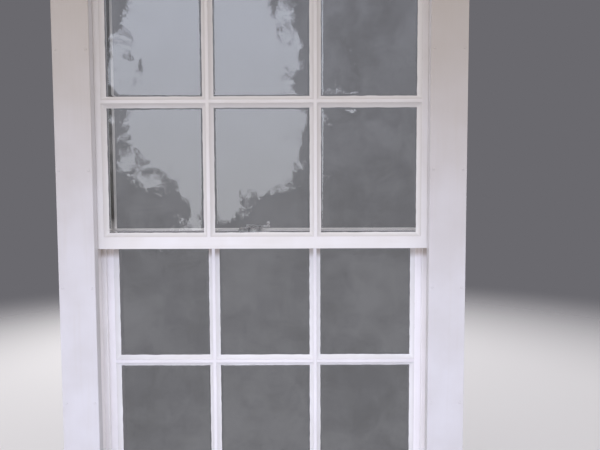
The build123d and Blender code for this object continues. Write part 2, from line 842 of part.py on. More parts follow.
def fastener_base():
    """Plate, boss and riveted pivot on the inner meeting rail."""
    plate = extrude(Pos(0, 0, lower_top) * SlotOverall(fastener_plate_length, fastener_plate_width),
                    amount=fastener_plate_thickness)
    pin_top = arm_top + arm_play
    profile = make_face([
        Line((0, plate_top), (pivot_boss_diameter / 2, plate_top)),
        Line((pivot_boss_diameter / 2, plate_top), (pivot_boss_diameter / 2, boss_top)),
        Line((pivot_boss_diameter / 2, boss_top), (pivot_pin_diameter / 2, boss_top)),
        Line((pivot_pin_diameter / 2, boss_top), (pivot_pin_diameter / 2, pin_top)),
        Line((pivot_pin_diameter / 2, pin_top), (pivot_head_diameter / 2, pin_top)),
        ThreePointArc((pivot_head_diameter / 2, pin_top),
                      (pivot_head_diameter * 0.38, pin_top + pivot_head_height * 0.7),
                      (crown_flat_radius, pin_top + pivot_head_height)),
        Line((crown_flat_radius, pin_top + pivot_head_height),
             (0, pin_top + pivot_head_height)),
        Line((0, pin_top + pivot_head_height), (0, plate_top)),
    ])
    stem = revolve(Plane.XZ * profile, axis=Axis.Z)
    return pivot * (plate + stem)


def fastener_screw_places():
    """The two screws of the plate, one each side of the pivot."""
    return [pivot * Pos(end * fastener_screw_spacing / 2, 0, plate_top) for end in (-1, 1)]


def fastener_arm():
    """The swinging arm with its turned knob, lying open along the rail."""
    hub = Circle(arm_hub_diameter / 2)
    blade = Pos(arm_reach / 2, 0) * SlotOverall(arm_reach + arm_width, arm_width)
    bore = Circle(pivot_pin_diameter / 2 + axle_clearance)
    flat = extrude(Pos(0, 0, arm_bottom) * (hub + blade - bore), amount=arm_thickness)
    waist = knob_height * 0.3
    ball_height = knob_height - waist
    profile = make_face([
        Line((0, 0), (knob_diameter / 2, 0)),
        ThreePointArc((knob_diameter / 2, 0), (knob_neck_diameter / 2 + 0.3, waist * 0.45),
                      (knob_neck_diameter / 2, waist)),
        ThreePointArc((knob_neck_diameter / 2, waist),
                      (knob_diameter / 2, waist + ball_height * 0.55),
                      (crown_flat_radius, knob_height)),
        Line((crown_flat_radius, knob_height), (0, knob_height)),
        Line((0, knob_height), (0, 0)),
    ])
    knob = Pos(arm_reach, 0, arm_top) * revolve(Plane.XZ * profile, axis=Axis.Z)
    return pivot * (flat + knob)


def fastener_keeper():
    """A cast keeper on the outer meeting rail, with a hook that the arm swings under."""
    back = upper_back
    front = back - keeper_depth
    left = fastener_offset - keeper_length / 2
    right = left + keeper_length
    top = upper_rail_top + keeper_height
    elevation = outline((left, upper_rail_top), (left + keeper_end_slope, top),
                        (right - keeper_end_slope, top), (right, upper_rail_top))
    body = run_inwards(elevation, front, back)
    front_cut = run_across(
        outline((top - keeper_front_chamfer, front), (top, front),
                (top, front + keeper_front_chamfer)), left, right)
    body = body - front_cut
    post_right = fastener_offset - arm_width / 2 - keeper_arm_clearance
    lip_bottom = arm_top + keeper_arm_clearance
    lip_top = lip_bottom + keeper_lip_thickness
    hook = outline(
        (post_right - keeper_post_width, top), (post_right - keeper_post_width, lip_top),
        (post_right - keeper_post_width + keeper_hook_length, lip_top),
        (post_right - keeper_post_width + keeper_hook_length, lip_bottom),
        (post_right, lip_bottom), (post_right, top))
    return body + run_inwards(hook, back - keeper_hook_depth, back)


def keeper_screw_places():
    """The two screws through the keeper's body."""
    middle = upper_back - keeper_depth / 2
    top = upper_rail_top + keeper_height
    return [Pos(fastener_offset + end * keeper_screw_spacing / 2, middle, top) for end in (-1, 1)]


def hook_lift(middle):
    """A bent hook lift: a plate with a half-round hook that takes the fingers."""
    bend = lower_bottom + lift_rise
    outer = lift_hook_radius + lift_metal
    plate = outline((bend, lower_back), (bend, lower_back + lift_metal),
                    (bend + lift_plate_height, lower_back + lift_metal),
                    (bend + lift_plate_height, lower_back))
    centre = lower_back + outer
    ring = Pos(bend, centre) * (Circle(outer) - Circle(lift_hook_radius))
    lower_half = Pos(bend - outer, centre) * Rectangle(2 * outer, 2 * outer + 2)
    lip = outline((bend, centre + lift_hook_radius), (bend, centre + outer),
                  (bend + lift_lip, centre + outer), (bend + lift_lip, centre + lift_hook_radius))
    section = (ring & lower_half) + plate + lip
    return run_across(section, middle - lift_width / 2, middle + lift_width / 2)


def lift_screw_places(middle):
    """Two screws in each lift's plate, one over the other."""
    top = lower_bottom + lift_rise + lift_plate_height
    turn = Rotation(-90, 0, 0)
    return [Pos(middle, lower_back + lift_metal, top - lift_screw_spacing * (step + 0.5)) * turn
            for step in (0, 1)]


def screws_at(places, length, clearance=0.0):
    """Like screws at a list of places."""
    return [place * screw(length, clearance) for place in places]


def build_window():
    """Build every piece, cut each for what it carries, and write it."""
    upper, lower = build_sashes()

    # The four hangings: side, depth of the cord, top of the sash, top of the weight
    upper_weight_top = sill_height + upper_weight_lift + upper_weight_length
    lower_weight_top = axle_height - lower_weight_hang
    hangings = []
    for side, side_name in ((-1, "left"), (1, "right")):
        hangings.append((f"upper_{side_name}", side, upper_middle, upper_top,
                         upper_weight_top, upper_weight_length))
        hangings.append((f"lower_{side_name}", side, lower_middle, lower_top,
                         lower_weight_top, lower_weight_length))

    cases = []
    axles = []
    pulley_screws = []
    for name, side, middle, sash_top, weight_top, weight_length in hangings:
        places = pulley_screw_places(side, middle)
        cases.append(pulley_case(side, middle)
                     - screws_at(places, pulley_screw_length, screw_hole_clearance))
        axles.append(pulley_axle(side, middle))
        pulley_screws.extend(screws_at(places, pulley_screw_length))
        save(f"pulley_wheel_{name}", wheel(side, middle))
        save(f"weight_{name}", weight(side, middle, weight_top, weight_length))
        save(f"sash_cord_{name}", cord(side, middle, sash_top, weight_top))
    save("pulley_cases", *cases)
    save("pulley_axles", *axles)
    save("pulley_screws", *pulley_screws)

    # Side boxes
    sill = run_across(sill_section(), -frame_edge, frame_edge)
    head = head_board() - parting_bead_head()
    stiles = {}
    for side, side_name in ((-1, "left"), (1, "right")):
        stile = pulley_stile(side)
        sill = sill - stile
        head = head - stile
        stiles[side_name] = stile
        bead = parting_bead(side)
        lining_sides = (side * stile_face, side * frame_edge)
        cuts = [bead, pocket_piece(side, saw_kerf)]
        for middle in (upper_middle, lower_middle):
            cuts.append(pulley_plate_block(side, middle))
            cuts.append(case_mortise(side, middle))
            cuts.extend(screws_at(pulley_screw_places(side, middle), pulley_screw_length,
                                  screw_hole_clearance))
        save(f"pulley_stile_{side_name}", stile - cuts)
        save(f"pocket_piece_{side_name}", pocket_piece(side))
        whole_sill = run_across(sill_section(), -frame_edge, frame_edge)
        save(f"parting_bead_{side_name}", bead - whole_sill)
        save(f"outer_lining_{side_name}", outer_lining(side) - whole_sill - stile)
        save(f"inner_lining_{side_name}",
             board(*lining_sides, inner_lining_front, inner_lining_back, sill_height, frame_top)
             - stile)
        back = board(side * back_lining_face, side * frame_edge, outer_lining_thickness,
                     inner_lining_front, housing_floor, soffit)
        save(f"back_lining_{side_name}", back - whole_sill)
    save("sill", sill)
    save("head_board", head)
    save("outer_lining_head", outer_lining_head() - head_board())
    inner_head = board(-stile_face, stile_face, inner_lining_front, inner_lining_back,
                       soffit, frame_top)
    save("inner_lining_head", inner_head - head_board())
    save("parting_bead_head", parting_bead_head())
    for name, bead in zip(("left", "right", "head", "sill"), staff_beads()):
        save(f"staff_bead_{name}", bead)
    save("parting_slips", parting_slip(-1), parting_slip(1))
    save("glue_blocks", *glue_blocks())

    # Sashes and their fittings
    lift_places = [-lift_spacing / 2, lift_spacing / 2]
    lift_screws = [place for middle in lift_places for place in lift_screw_places(middle)]
    rail_cuts = screws_at(lift_screws, fitting_screw_length, screw_hole_clearance)
    base_cuts = screws_at(fastener_screw_places(), fitting_screw_length, screw_hole_clearance)
    keeper_cuts = screws_at(keeper_screw_places(), fitting_screw_length + keeper_height,
                            screw_hole_clearance)
    upper["low_rail"] = upper["low_rail"] - keeper_cuts
    lower["low_rail"] = lower["low_rail"] - rail_cuts
    lower["high_rail"] = lower["high_rail"] - base_cuts
    for sash_name, sash, low_name, high_name in (
        ("upper", upper, "meeting_rail", "top_rail"),
        ("lower", lower, "bottom_rail", "meeting_rail"),
    ):
        save(f"{sash_name}_stile_left", sash["stile_left"])
        save(f"{sash_name}_stile_right", sash["stile_right"])
        save(f"{sash_name}_{low_name}", sash["low_rail"])
        save(f"{sash_name}_{high_name}", sash["high_rail"])
        save(f"{sash_name}_upright_bars", *sash["upright_bars"])
        save(f"{sash_name}_cross_bars", *sash["cross_bars"])
        save(f"{sash_name}_panes", *sash["panes"])
        save(f"{sash_name}_putty", *sash["putty"])
    save("fastener_base", fastener_base() - base_cuts)
    save("fastener_arm", fastener_arm())
    save("fastener_keeper", fastener_keeper() - keeper_cuts)
    save("keeper_screws", *screws_at(keeper_screw_places(), fitting_screw_length + keeper_height))
    save("lower_sash_screws", *screws_at(lift_screws, fitting_screw_length),
         *screws_at(fastener_screw_places(), fitting_screw_length))
    save("hook_lifts", *[hook_lift(middle) - rail_cuts for middle in lift_places])


build_window()
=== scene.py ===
import json
import math

import bpy
from mathutils import Matrix, Vector


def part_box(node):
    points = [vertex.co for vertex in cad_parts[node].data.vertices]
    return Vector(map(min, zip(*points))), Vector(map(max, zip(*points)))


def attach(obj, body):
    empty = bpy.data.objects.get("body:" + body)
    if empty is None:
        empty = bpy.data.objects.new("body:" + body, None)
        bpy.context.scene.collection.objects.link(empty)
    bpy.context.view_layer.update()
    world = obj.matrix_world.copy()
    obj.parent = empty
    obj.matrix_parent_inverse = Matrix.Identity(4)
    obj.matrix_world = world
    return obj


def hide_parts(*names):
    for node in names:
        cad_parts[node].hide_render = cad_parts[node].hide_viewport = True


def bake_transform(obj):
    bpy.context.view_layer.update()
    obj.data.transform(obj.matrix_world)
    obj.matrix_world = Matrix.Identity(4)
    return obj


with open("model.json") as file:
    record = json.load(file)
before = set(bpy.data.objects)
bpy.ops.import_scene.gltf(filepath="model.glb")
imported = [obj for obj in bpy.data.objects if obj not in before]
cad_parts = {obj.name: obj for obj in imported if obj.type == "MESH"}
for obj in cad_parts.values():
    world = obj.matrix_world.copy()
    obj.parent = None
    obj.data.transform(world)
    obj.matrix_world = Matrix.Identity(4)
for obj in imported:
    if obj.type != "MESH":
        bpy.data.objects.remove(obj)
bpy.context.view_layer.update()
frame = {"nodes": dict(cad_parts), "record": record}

# A painted timber sash window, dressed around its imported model. Metres in Blender,
# millimetres in the values below. X across, Y inwards from the outside face, Z up.

MM = 0.001

# Camera, fitted to the edges of both sashes in the photograph
CAMERA_PLACE = (97.2, -1109.5, 885.7)
CAMERA_YAW = 0.13
CAMERA_PITCH = 2.91
CAMERA_ROLL = 0.21
FOCAL_PIXELS = 453.0
PHOTO_WIDTH = 600
SENSOR = 36.0

# Panes and putty
PANE_WIDTH = 241.0
BAR_WIDTH = 26.0
SIGHT_EDGE = 387.5
GLASS_LAP = 7.0
GLASS_FRONT = 10.0
GLASS_THICKNESS = 3.0
SASHES = {
    "upper": {"front": 20.8, "rows": (808.4, 1147.4), "height": 313.0},
    "lower": {"front": 76.4, "rows": (150.4, 476.4), "height": 300.0},
}

# Cords, pulleys and knots
CORD_RADIUS = 3.0
CORD_LINE = 422.0
WEIGHT_LINE = 470.0
WHEEL_CORD_RADIUS = 24.0
AXLE_HEIGHT = 1411.9
KNOT_LINE = 415.0
CORDS = {
    "upper": {"depth": 43.3, "sash_top": 1506.4, "weight_top": 665.0},
    "lower": {"depth": 98.9, "sash_top": 815.4, "weight_top": 1341.9},
}
GROOVE_LENGTH = 120.0
SASH_KNOT_DROP = 152.3
WEIGHT_KNOT_DROP = 38.5
SASH_KNOT_SIZE = 7.0
WEIGHT_KNOT_SIZE = 6.0

# Where in the noise the waves of the panes and the putty are read
SEED = 7.3


def linear(code):
    """The linear values of an sRGB hex colour."""
    parts = [int(code[i:i + 2], 16) / 255 for i in (0, 2, 4)]
    steps = [c / 12.92 if c <= 0.04045 else ((c + 0.055) / 1.055) ** 2.4 for c in parts]
    return (*steps, 1.0)


def add(tree, kind, sockets=None, **settings):
    """Add a node with its settings, and give its sockets a value or a link."""
    made = tree.nodes.new(kind)
    for name, value in settings.items():
        setattr(made, name, value)
    for name, value in (sockets or {}).items():
        if isinstance(value, bpy.types.NodeSocket):
            tree.links.new(value, made.inputs[name])
        else:
            made.inputs[name].default_value = value
    return made


def new_material(name):
    """An empty material, its node tree, and a point's place in its object's own frame."""
    material = bpy.data.materials.new(name)
    material.use_nodes = True
    tree = material.node_tree
    tree.nodes.clear()
    return material, tree, add(tree, "ShaderNodeTexCoord").outputs["Object"]


def placed(name, data):
    """A new object in the scene that shows a mesh, a lamp or a camera."""
    made = bpy.data.objects.new(name, data)
    bpy.context.scene.collection.objects.link(made)
    return made


# A Mix node's colour sockets come after its number and vector ones
MIX_A, MIX_B, MIX_OUT = 6, 7, 2


# Camera

camera_data = bpy.data.cameras.new("camera")
camera_data.sensor_width = SENSOR
camera_data.lens = FOCAL_PIXELS / PHOTO_WIDTH * SENSOR
camera_data.clip_start = 0.05
camera_data.clip_end = 50
camera = placed("camera", camera_data)
turn = (Matrix.Rotation(math.radians(CAMERA_YAW), 3, "Z")
        @ Matrix.Rotation(math.radians(-CAMERA_PITCH), 3, "X")
        @ Matrix.Rotation(math.radians(CAMERA_ROLL), 3, "Y"))
look = Matrix.Rotation(math.radians(90), 3, "X")
camera.matrix_world = Matrix.Translation(Vector(CAMERA_PLACE) * MM) @ (turn @ look).to_4x4()
bpy.context.scene.camera = camera
bpy.context.scene.view_settings.view_transform = "Standard"


# Studio

# A pale floor, a dark backdrop behind the window as seen from outside, and a pale one
# before it, lighter upwards, which the panes mirror. The floor's drop is in millimetres,
# its other sizes are in metres.
FLOOR_SIZE = 5.0
FLOOR_DROP = 0.5
FLOOR_POOL = (1.7, 4.2)
FLOOR_COLOUR = "d2d2d4"
FLOOR_GLOW = "f2f2f4"
FLOOR_LIFT = 0.06
BACKDROP_DARK = "6a696e"
OUTSIDE_LOW = "d2d4d8"
OUTSIDE_HIGH = "e2e8f8"
# How bright the panes' mirror image is: its darkest part, its dull part and its opening
MIRRORED = (0.1, 1.6, 7.6)
MIRRORED_INSIDE = 3.6
OPENING = (-0.17, -0.96, 0.19)
OPENING_EDGE = (0.515, 0.55)
CLOUD_REACH = 0.62
AMBIENT = "fcf8fa"
AMBIENT_BACK = 0.3
AMBIENT_FRONT = 1.0
AMBIENT_STRAIGHT = 0.6
AMBIENT_SIDES = 1.5
AMBIENT_LEAN = (1.22, 0.95)

world = bpy.data.worlds.new("studio")
world.use_nodes = True
bpy.context.scene.world = world
tree = world.node_tree
tree.nodes.clear()
direction = add(tree, "ShaderNodeTexCoord").outputs["Generated"]
split = add(tree, "ShaderNodeSeparateXYZ", {"Vector": direction})
clouds = add(tree, "ShaderNodeTexNoise",
             {"Vector": direction, "Scale": 6.5, "Detail": 9.0, "Roughness": 0.68})
height = add(tree, "ShaderNodeMapRange",
             {"Value": split.outputs["Z"], "From Min": -0.15, "From Max": 0.5},
             interpolation_type="SMOOTHSTEP")
outside = add(tree, "ShaderNodeMix",
              {0: height.outputs["Result"], MIX_A: linear(OUTSIDE_LOW), MIX_B: linear(OUTSIDE_HIGH)},
              data_type="RGBA")
inwards = add(tree, "ShaderNodeMapRange",
              {"Value": split.outputs["Y"], "From Min": -0.5, "From Max": 0.25},
              interpolation_type="SMOOTHSTEP")
backdrop = add(tree, "ShaderNodeMix",
               {0: inwards.outputs["Result"], MIX_A: outside.outputs[MIX_OUT],
                MIX_B: linear(BACKDROP_DARK)}, data_type="RGBA")
# A bright opening with a broken edge, up on the left, gives the old glass something to bend
away = add(tree, "ShaderNodeVectorMath", {0: direction, 1: OPENING}, operation="DISTANCE")
broken = add(tree, "ShaderNodeMath",
             {0: clouds.outputs[0], 1: CLOUD_REACH, 2: away.outputs["Value"]}, operation="MULTIPLY_ADD")
dull = add(tree, "ShaderNodeMapRange",
           {"Value": clouds.outputs[0], "From Min": 0.35, "From Max": 0.65,
            "To Min": MIRRORED[0], "To Max": MIRRORED[1]}, interpolation_type="SMOOTHSTEP")
opened = add(tree, "ShaderNodeMapRange",
             {"Value": broken.outputs[0], "From Min": OPENING_EDGE[0], "From Max": OPENING_EDGE[1],
              "To Min": 1.0, "To Max": 0.0}, interpolation_type="SMOOTHSTEP")
sky = add(tree, "ShaderNodeMix",
          {0: opened.outputs["Result"], 2: dull.outputs["Result"], 3: MIRRORED[2]})
sky = add(tree, "ShaderNodeMix", {0: inwards.outputs["Result"], 2: sky.outputs[0], 3: MIRRORED_INSIDE})
path = add(tree, "ShaderNodeLightPath")
not_through = add(tree, "ShaderNodeMath", {0: 1.0, 1: path.outputs["Is Transmission Ray"]},
                  operation="SUBTRACT")
reflected = add(tree, "ShaderNodeMath",
                {0: path.outputs["Is Glossy Ray"], 1: not_through.outputs[0]}, operation="MULTIPLY")
mirrored = add(tree, "ShaderNodeMix",
               {0: reflected.outputs[0], 2: 1.0, 3: sky.outputs[0]})
seen = add(tree, "ShaderNodeBackground",
           {"Color": backdrop.outputs[MIX_OUT], "Strength": mirrored.outputs[0]})
# The whole wall in front is one soft light, so that it fills the recesses
before = add(tree, "ShaderNodeMapRange",
             {"Value": split.outputs["Y"], "From Min": 0.2, "From Max": -0.35,
              "To Min": AMBIENT_BACK, "To Max": AMBIENT_FRONT}, interpolation_type="SMOOTHSTEP")
sideways = add(tree, "ShaderNodeMapRange",
               {"Value": split.outputs["Y"], "From Min": -0.95, "From Max": -0.2,
                "To Min": AMBIENT_STRAIGHT, "To Max": AMBIENT_SIDES}, interpolation_type="SMOOTHSTEP")
# More of it comes from the left, so the runs on the right are the brighter ones
leaning = add(tree, "ShaderNodeMapRange",
              {"Value": split.outputs["X"], "From Min": -0.9, "From Max": 0.9,
               "To Min": AMBIENT_LEAN[0], "To Max": AMBIENT_LEAN[1]})
soft = before.outputs["Result"]
for factor in (sideways.outputs["Result"], leaning.outputs["Result"]):
    product = add(tree, "ShaderNodeMath", {0: soft, 1: factor}, operation="MULTIPLY")
    soft = product.outputs[0]
ambient = add(tree, "ShaderNodeBackground", {"Color": linear(AMBIENT), "Strength": soft})
# The camera and the glass see the backdrop, and soft light falls on all else
straight = add(tree, "ShaderNodeMath", {0: path.outputs["Diffuse Depth"], 1: 0.5},
               operation="LESS_THAN")
shows = path.outputs["Is Camera Ray"]
for kind in ("Is Transmission Ray", "Is Glossy Ray"):
    either = add(tree, "ShaderNodeMath", {0: shows, 1: path.outputs[kind]}, operation="ADD",
                 use_clamp=True)
    shows = either.outputs[0]
shows = add(tree, "ShaderNodeMath", {0: shows, 1: straight.outputs[0]}, operation="MULTIPLY")
both = add(tree, "ShaderNodeMixShader",
           {0: shows.outputs[0], 1: ambient.outputs[0], 2: seen.outputs[0]})
add(tree, "ShaderNodeOutputWorld", {"Surface": both.outputs[0]})

floor_mesh = bpy.data.meshes.new("floor")
floor_mesh.from_pydata(
    [(x * FLOOR_SIZE, y * FLOOR_SIZE, -FLOOR_DROP * MM)
     for x, y in ((-1, -1), (1, -1), (1, 1), (-1, 1))], [], [(0, 1, 2, 3)])
floor = placed("floor", floor_mesh)
material, tree, place = new_material("pale_floor")
distance = add(tree, "ShaderNodeVectorMath", {0: place}, operation="LENGTH")
pool = add(tree, "ShaderNodeMapRange",
           {"Value": distance.outputs["Value"], "From Min": FLOOR_POOL[0], "From Max": FLOOR_POOL[1],
            "To Min": 1.0, "To Max": 0.0}, interpolation_type="SMOOTHSTEP")
path = add(tree, "ShaderNodeLightPath")
elsewhere = add(tree, "ShaderNodeMath",
                {0: path.outputs["Is Transmission Ray"], 1: path.outputs["Is Glossy Ray"]},
                operation="MAXIMUM")
direct = add(tree, "ShaderNodeMath", {0: 1.0, 1: elsewhere.outputs[0]}, operation="SUBTRACT")
there = add(tree, "ShaderNodeMath", {0: pool.outputs["Result"], 1: direct.outputs[0]},
            operation="MULTIPLY")
pale = add(tree, "ShaderNodeBsdfDiffuse", {"Color": linear(FLOOR_COLOUR)})
lit = add(tree, "ShaderNodeMath", {0: path.outputs["Is Camera Ray"], 1: FLOOR_LIFT},
          operation="MULTIPLY")
lift = add(tree, "ShaderNodeEmission", {"Color": linear(FLOOR_GLOW), "Strength": lit.outputs[0]})
brighter = add(tree, "ShaderNodeAddShader", {0: pale.outputs[0], 1: lift.outputs[0]})
clear = add(tree, "ShaderNodeBsdfTransparent")
mixed = add(tree, "ShaderNodeMixShader",
            {0: there.outputs[0], 1: clear.outputs[0], 2: brighter.outputs[0]})
add(tree, "ShaderNodeOutputMaterial", {"Surface": mixed.outputs[0]})
floor_mesh.materials.append(material)

LAMPS = {
    "low_key": {"place": (-0.1, -2.2, 0.5), "aim": (0, 0, 0.5), "size": (1.6, 0.6), "power": 5,
                "colour": "e0e5ff", "spread": 75},
    "room_side": {"place": (-0.8, 2.8, 1.8), "aim": (0, 0.1, 0.8), "size": (2.0, 2.0), "power": 40,
                  "colour": "fffcf8", "spread": 180},
}
for name, facts in LAMPS.items():
    data = bpy.data.lights.new(name, "AREA")
    data.shape = "RECTANGLE"
    data.size, data.size_y = facts["size"]
    data.energy = facts["power"]
    data.color = linear(facts["colour"])[:3]
    data.spread = math.radians(facts["spread"])
    lamp = placed(name, data)
    lamp.location = facts["place"]
    aim = Vector(facts["aim"]) - Vector(facts["place"])
    lamp.rotation_euler = aim.to_track_quat("-Z", "Y").to_euler()
    lamp.visible_camera = False
    lamp.visible_transmission = False
    lamp.visible_glossy = False


# Materials

PAINT_IOR = 1.48

# Dirt, dust and painted shade over the paints, from the lightest to the deepest
STREAK_DIRT = "c3bcb2"
UNWASHED_AND_SHADED = "b8aca1"
UNDERCOAT = "a89c8b"
DUST_AND_SHADE_FILM = "9c8f7e"
CORNER_DIRT_AND_SHADE = "7d7264"
CORD_GRIME_AND_SHADE = "4f4a44"
PUTTY_LINE = "94867a"
PUTTY_CORNER_DIRT_AND_SHADE = "8b8377"

# The film of dust and painted shade starts at one height and is full at the other
DUST_AND_SHADE_HEIGHTS = (480.0, 1450.0)
# The lower sash's run: how deep it starts, and where the grime and painted shade above that sash start
RUN_DEPTH = 74.0
GRIME_AND_SHADE_HEIGHTS = (800.0, 860.0)
GRIME_AND_SHADE_SHARE = 2.6
# The band of dirt and painted shade under the meeting rail: its middle and its reach either way
SHADED_DIRTY_BAND = (764.0, 27.0)


def painted_timber(name, along, coats, dust, sheltered=False):
    """Gloss oil paint, brushed on old softwood in many coats: streaks that follow the grain, soft
    arrises, a faint grain that shows through, dirt and painted shade in the corners, and outside a top
    darkened by painted shade and dust."""
    material, tree, place = new_material(name)
    stretched = {"x": (1, 18, 18), "z": (18, 18, 1)}[along]
    lengthways = add(tree, "ShaderNodeMapping", {"Vector": place, "Scale": stretched})
    # A hog-hair brush leaves ridges about 1 mm apart and 60 mm long; these are three
    # times as wide, so that they show
    brush = add(tree, "ShaderNodeTexNoise",
                {"Vector": lengthways.outputs[0], "Scale": 18.0, "Detail": 3.0, "Roughness": 0.6})
    # The timber's growth rings telegraph through as long low waves, some 12 mm apart
    grain = add(tree, "ShaderNodeTexNoise",
                {"Vector": lengthways.outputs[0], "Scale": 4.5, "Detail": 2.0, "Distortion": 0.4})
    # Old coats lie unevenly, in patches of some 120 mm
    patches = add(tree, "ShaderNodeTexNoise", {"Vector": place, "Scale": 8.0, "Detail": 3.0})
    soft = add(tree, "ShaderNodeBevel", {"Radius": 1.1 * MM}, samples=4)
    ridges = add(tree, "ShaderNodeBump",
                 {"Height": brush.outputs[0], "Strength": 0.25, "Distance": 0.35 * MM,
                  "Normal": soft.outputs[0]})
    waves = add(tree, "ShaderNodeBump",
                {"Height": grain.outputs[0], "Strength": 0.3, "Distance": 1.0 * MM,
                 "Normal": ridges.outputs[0]})
    # White gone slightly cream in some places and grey in others
    tone = add(tree, "ShaderNodeMapRange",
               {"Value": patches.outputs[0], "From Min": 0.35, "From Max": 0.65})
    base = add(tree, "ShaderNodeMix",
               {0: tone.outputs["Result"], MIX_A: linear(coats[0]), MIX_B: linear(coats[1])},
               data_type="RGBA")
    # Streaks of dirt held in the brush marks
    streak = add(tree, "ShaderNodeMapRange",
                 {"Value": grain.outputs[0], "From Min": 0.55, "From Max": 0.8,
                  "To Min": 0.0, "To Max": 0.14})
    # Where an arris has been knocked, the undercoat shows in chips of a few millimetres
    flat = add(tree, "ShaderNodeNewGeometry")
    rounded = add(tree, "ShaderNodeVectorMath", {0: soft.outputs[0], 1: flat.outputs["True Normal"]},
                  operation="DOT_PRODUCT")
    arris = add(tree, "ShaderNodeMapRange",
                {"Value": rounded.outputs["Value"], "From Min": 0.8, "From Max": 0.97,
                 "To Min": 0.75, "To Max": 0.0})
    knocks = add(tree, "ShaderNodeTexNoise", {"Vector": place, "Scale": 45.0, "Detail": 3.0})
    chips = add(tree, "ShaderNodeMapRange",
                {"Value": knocks.outputs[0], "From Min": 0.6, "From Max": 0.66})
    chipped = add(tree, "ShaderNodeMath", {0: arris.outputs["Result"], 1: chips.outputs["Result"]},
                  operation="MULTIPLY")
    # Darker within 7 mm of an inside corner: dirt that gathers there, and painted shade
    corners = add(tree, "ShaderNodeAmbientOcclusion", {"Distance": 7 * MM}, samples=6)
    corner_dirt_and_shade = add(tree, "ShaderNodeMapRange",
               {"Value": corners.outputs["AO"], "From Min": 0.3, "From Max": 0.85,
                "To Min": 0.13, "To Max": 0.0})
    blotch = add(tree, "ShaderNodeMath", {0: corner_dirt_and_shade.outputs["Result"], 1: patches.outputs[0]},
                 operation="MULTIPLY")
    # Outside, the upper half is painted darker and beige: painted shade of what hangs over it, and a film
    # of dust
    height = add(tree, "ShaderNodeSeparateXYZ", {"Vector": place}).outputs["Z"]
    shade = add(tree, "ShaderNodeMapRange",
                {"Value": height, "From Min": DUST_AND_SHADE_HEIGHTS[0] * MM, "From Max": DUST_AND_SHADE_HEIGHTS[1] * MM,
                 "To Min": 0.0, "To Max": dust}, interpolation_type="SMOOTHSTEP")
    facing = add(tree, "ShaderNodeSeparateXYZ", {"Vector": flat.outputs["True Normal"]})
    outside = add(tree, "ShaderNodeMapRange",
                  {"Value": facing.outputs["Y"], "From Min": 0.3, "From Max": -0.5})
    film = add(tree, "ShaderNodeMath", {0: shade.outputs["Result"], 1: outside.outputs["Result"]},
               operation="MULTIPLY")
    layers = [(streak.outputs["Result"], STREAK_DIRT), (chipped.outputs[0], UNDERCOAT),
              (blotch.outputs[0], CORNER_DIRT_AND_SHADE), (film.outputs[0], DUST_AND_SHADE_FILM)]
    if sheltered:
        # Above the lower sash its runs are darker: grime that rubs off the cords, and painted shade of
        # the unlit room inside
        deep = add(tree, "ShaderNodeSeparateXYZ", {"Vector": place}).outputs["Y"]
        inner = add(tree, "ShaderNodeMath", {0: deep, 1: RUN_DEPTH * MM}, operation="GREATER_THAN")
        above = add(tree, "ShaderNodeMapRange",
                    {"Value": height, "From Min": GRIME_AND_SHADE_HEIGHTS[0] * MM,
                     "From Max": GRIME_AND_SHADE_HEIGHTS[1] * MM, "To Min": 0.0, "To Max": GRIME_AND_SHADE_SHARE},
                    interpolation_type="SMOOTHSTEP")
        full_face = add(tree, "ShaderNodeMapRange",
                        {"Value": facing.outputs["Y"], "From Min": 0.6, "From Max": -0.9})
        grime_and_shade = above.outputs["Result"]
        for factor in (inner.outputs[0], patches.outputs[0], full_face.outputs["Result"]):
            product = add(tree, "ShaderNodeMath", {0: grime_and_shade, 1: factor}, operation="MULTIPLY")
            grime_and_shade = product.outputs[0]
        layers.append((grime_and_shade, CORD_GRIME_AND_SHADE))
        # Just under the meeting rail the paint is browner: dirt that rain never washes off, and painted
        # shade of the rail above
        middle, reach = SHADED_DIRTY_BAND
        from_edge = add(tree, "ShaderNodeMath", {0: height, 1: middle * MM}, operation="SUBTRACT")
        off = add(tree, "ShaderNodeMath", {0: from_edge.outputs[0]}, operation="ABSOLUTE")
        under = add(tree, "ShaderNodeMapRange",
                    {"Value": off.outputs[0], "From Min": 0.3 * reach * MM, "From Max": reach * MM,
                     "To Min": 1.0, "To Max": 0.0}, interpolation_type="SMOOTHSTEP")
        wiped = add(tree, "ShaderNodeMapRange",
                    {"Value": brush.outputs[0], "From Min": 0.3, "From Max": 0.7,
                     "To Min": 0.7, "To Max": 1.0})
        band_of_shade_and_dirt = under.outputs["Result"]
        for factor in (wiped.outputs["Result"], outside.outputs["Result"]):
            product = add(tree, "ShaderNodeMath", {0: band_of_shade_and_dirt, 1: factor}, operation="MULTIPLY")
            band_of_shade_and_dirt = product.outputs[0]
        layers.append((band_of_shade_and_dirt, UNWASHED_AND_SHADED))
    colour = base.outputs[MIX_OUT]
    for share, tint in layers:
        over = add(tree, "ShaderNodeMix", {0: share, MIX_A: colour, MIX_B: linear(tint)},
                   data_type="RGBA")
        colour = over.outputs[MIX_OUT]
    sheen = add(tree, "ShaderNodeMapRange",
                {"Value": brush.outputs[0], "To Min": 0.32, "To Max": 0.5})
    paint = add(tree, "ShaderNodeBsdfPrincipled",
                {"Base Color": colour, "Roughness": sheen.outputs["Result"],
                 "Normal": waves.outputs[0], "IOR": PAINT_IOR})
    add(tree, "ShaderNodeOutputMaterial", {"Surface": paint.outputs[0]})
    return material


